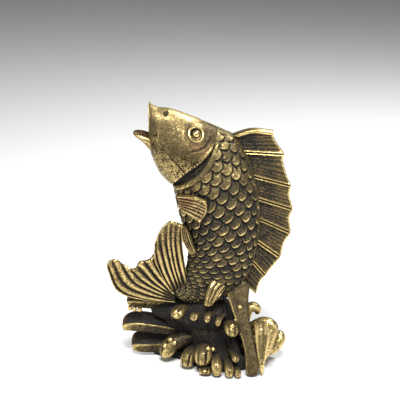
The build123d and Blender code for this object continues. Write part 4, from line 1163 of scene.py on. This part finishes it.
def build_claw(name, root, tip, hump, width, thickness, lean):
    """A claw of water from its root over a hump down to a rounded tip; a leaning one is a broad tongue."""
    start, end = place_points([root, tip])
    knee = end + np.array([0, 0, hump * figure_height])
    share = np.sin(math.pi / 2 * np.linspace(0, 1, claw_steps))
    t = share[:, None]
    points = start * (1 - t) ** 2 + knee * (2 * t * (1 - t)) + end * t**2
    side = np.array([end[1] - start[1], start[0] - end[0], 0])
    side /= np.linalg.norm(side)
    side = side * math.cos(math.radians(lean)) + np.array([0, 0, math.sin(math.radians(lean))])
    slim = 0.70 + 0.30 * np.sin(math.pi * np.minimum(share * 0.8, 0.5))
    bluntness, finish = (tongue_bluntness, tongue_finish) if lean else (claw_bluntness, claw_finish)
    slim = slim * np.sqrt(np.clip(1 - share**bluntness, 0.02, 1))
    widths, thicknesses = width * claw_width * slim, thickness * claw_thickness * slim
    curl = 0.0 if lean or width < 1 else 1.0
    water_limb(name, points, side, widths, thicknesses, seed=99 * hump, curl=curl, **finish)


for row in claw_shares:
    build_claw(*row)


# Studio: a plain pale table under a soft key lamp high in front, with weaker lamps at the right, behind
# and at the left, and an even grey surround that the brass can mirror.
room_colour = (0.80, 0.82, 0.85, 1)
room_strength = 0.16
table_size = 3.0
table_colour = (0.82, 0.82, 0.81, 1)
table_roughness = 0.65
fish_middle = (0.0, 0.0, 0.028)
lamps = {
    "key_lamp": ((0.00, -0.16, 0.28), 0.10, 1.40),
    "fill_lamp": ((0.24, -0.16, 0.14), 0.08, 0.22),
    "top_lamp": ((0.10, 0.13, 0.22), 0.05, 0.55),
    "left_lamp": ((-0.24, -0.12, 0.10), 0.20, 0.24),
}
camera_place = (-0.00154, -0.20923, 0.09939)
camera_tilt = math.radians(72.0)
camera_lens = 107.3
camera_sensor = 36.0

world = bpy.data.worlds.new("grey_room")
world.use_nodes = True
world.node_tree.nodes["Background"].inputs["Color"].default_value = room_colour
world.node_tree.nodes["Background"].inputs["Strength"].default_value = room_strength
bpy.context.scene.world = world

table_mesh = bpy.data.meshes.new("pale_table")
corners = [(x * table_size, y * table_size, 0) for x, y in ((-1, -1), (1, -1), (1, 1), (-1, 1))]
table_mesh.from_pydata(corners, [], [(0, 1, 2, 3)])
table = bpy.data.objects.new("pale_table", table_mesh)
bpy.context.scene.collection.objects.link(table)
table_paint = bpy.data.materials.new("pale_table_paint")
table_paint.use_nodes = True
table_paint.node_tree.nodes["Principled BSDF"].inputs["Base Color"].default_value = table_colour
table_paint.node_tree.nodes["Principled BSDF"].inputs["Roughness"].default_value = table_roughness
table_mesh.materials.append(table_paint)


def soft_lamp(name, place, size, power):
    """A square lamp that looks at the middle of the fish."""
    data = bpy.data.lights.new(name, "AREA")
    data.shape = "SQUARE"
    data.size = size
    data.energy = power
    lamp = bpy.data.objects.new(name, data)
    lamp.location = place
    x, y, z = np.array(fish_middle) - np.array(place)
    lamp.rotation_euler = (math.atan2(math.hypot(x, y), -z), 0, math.atan2(y, x) - math.pi / 2)
    bpy.context.scene.collection.objects.link(lamp)


for name, (place, size, power) in lamps.items():
    soft_lamp(name, place, size, power)

camera_data = bpy.data.cameras.new("photo_camera")
camera_data.lens = camera_lens
camera_data.sensor_width = camera_sensor
camera_data.clip_start = 0.005
camera = bpy.data.objects.new("photo_camera", camera_data)
camera.location = camera_place
camera.rotation_euler = (camera_tilt, 0.0, 0.0)
bpy.context.scene.collection.objects.link(camera)
bpy.context.scene.camera = camera
bpy.context.scene.view_settings.view_transform = "Standard"
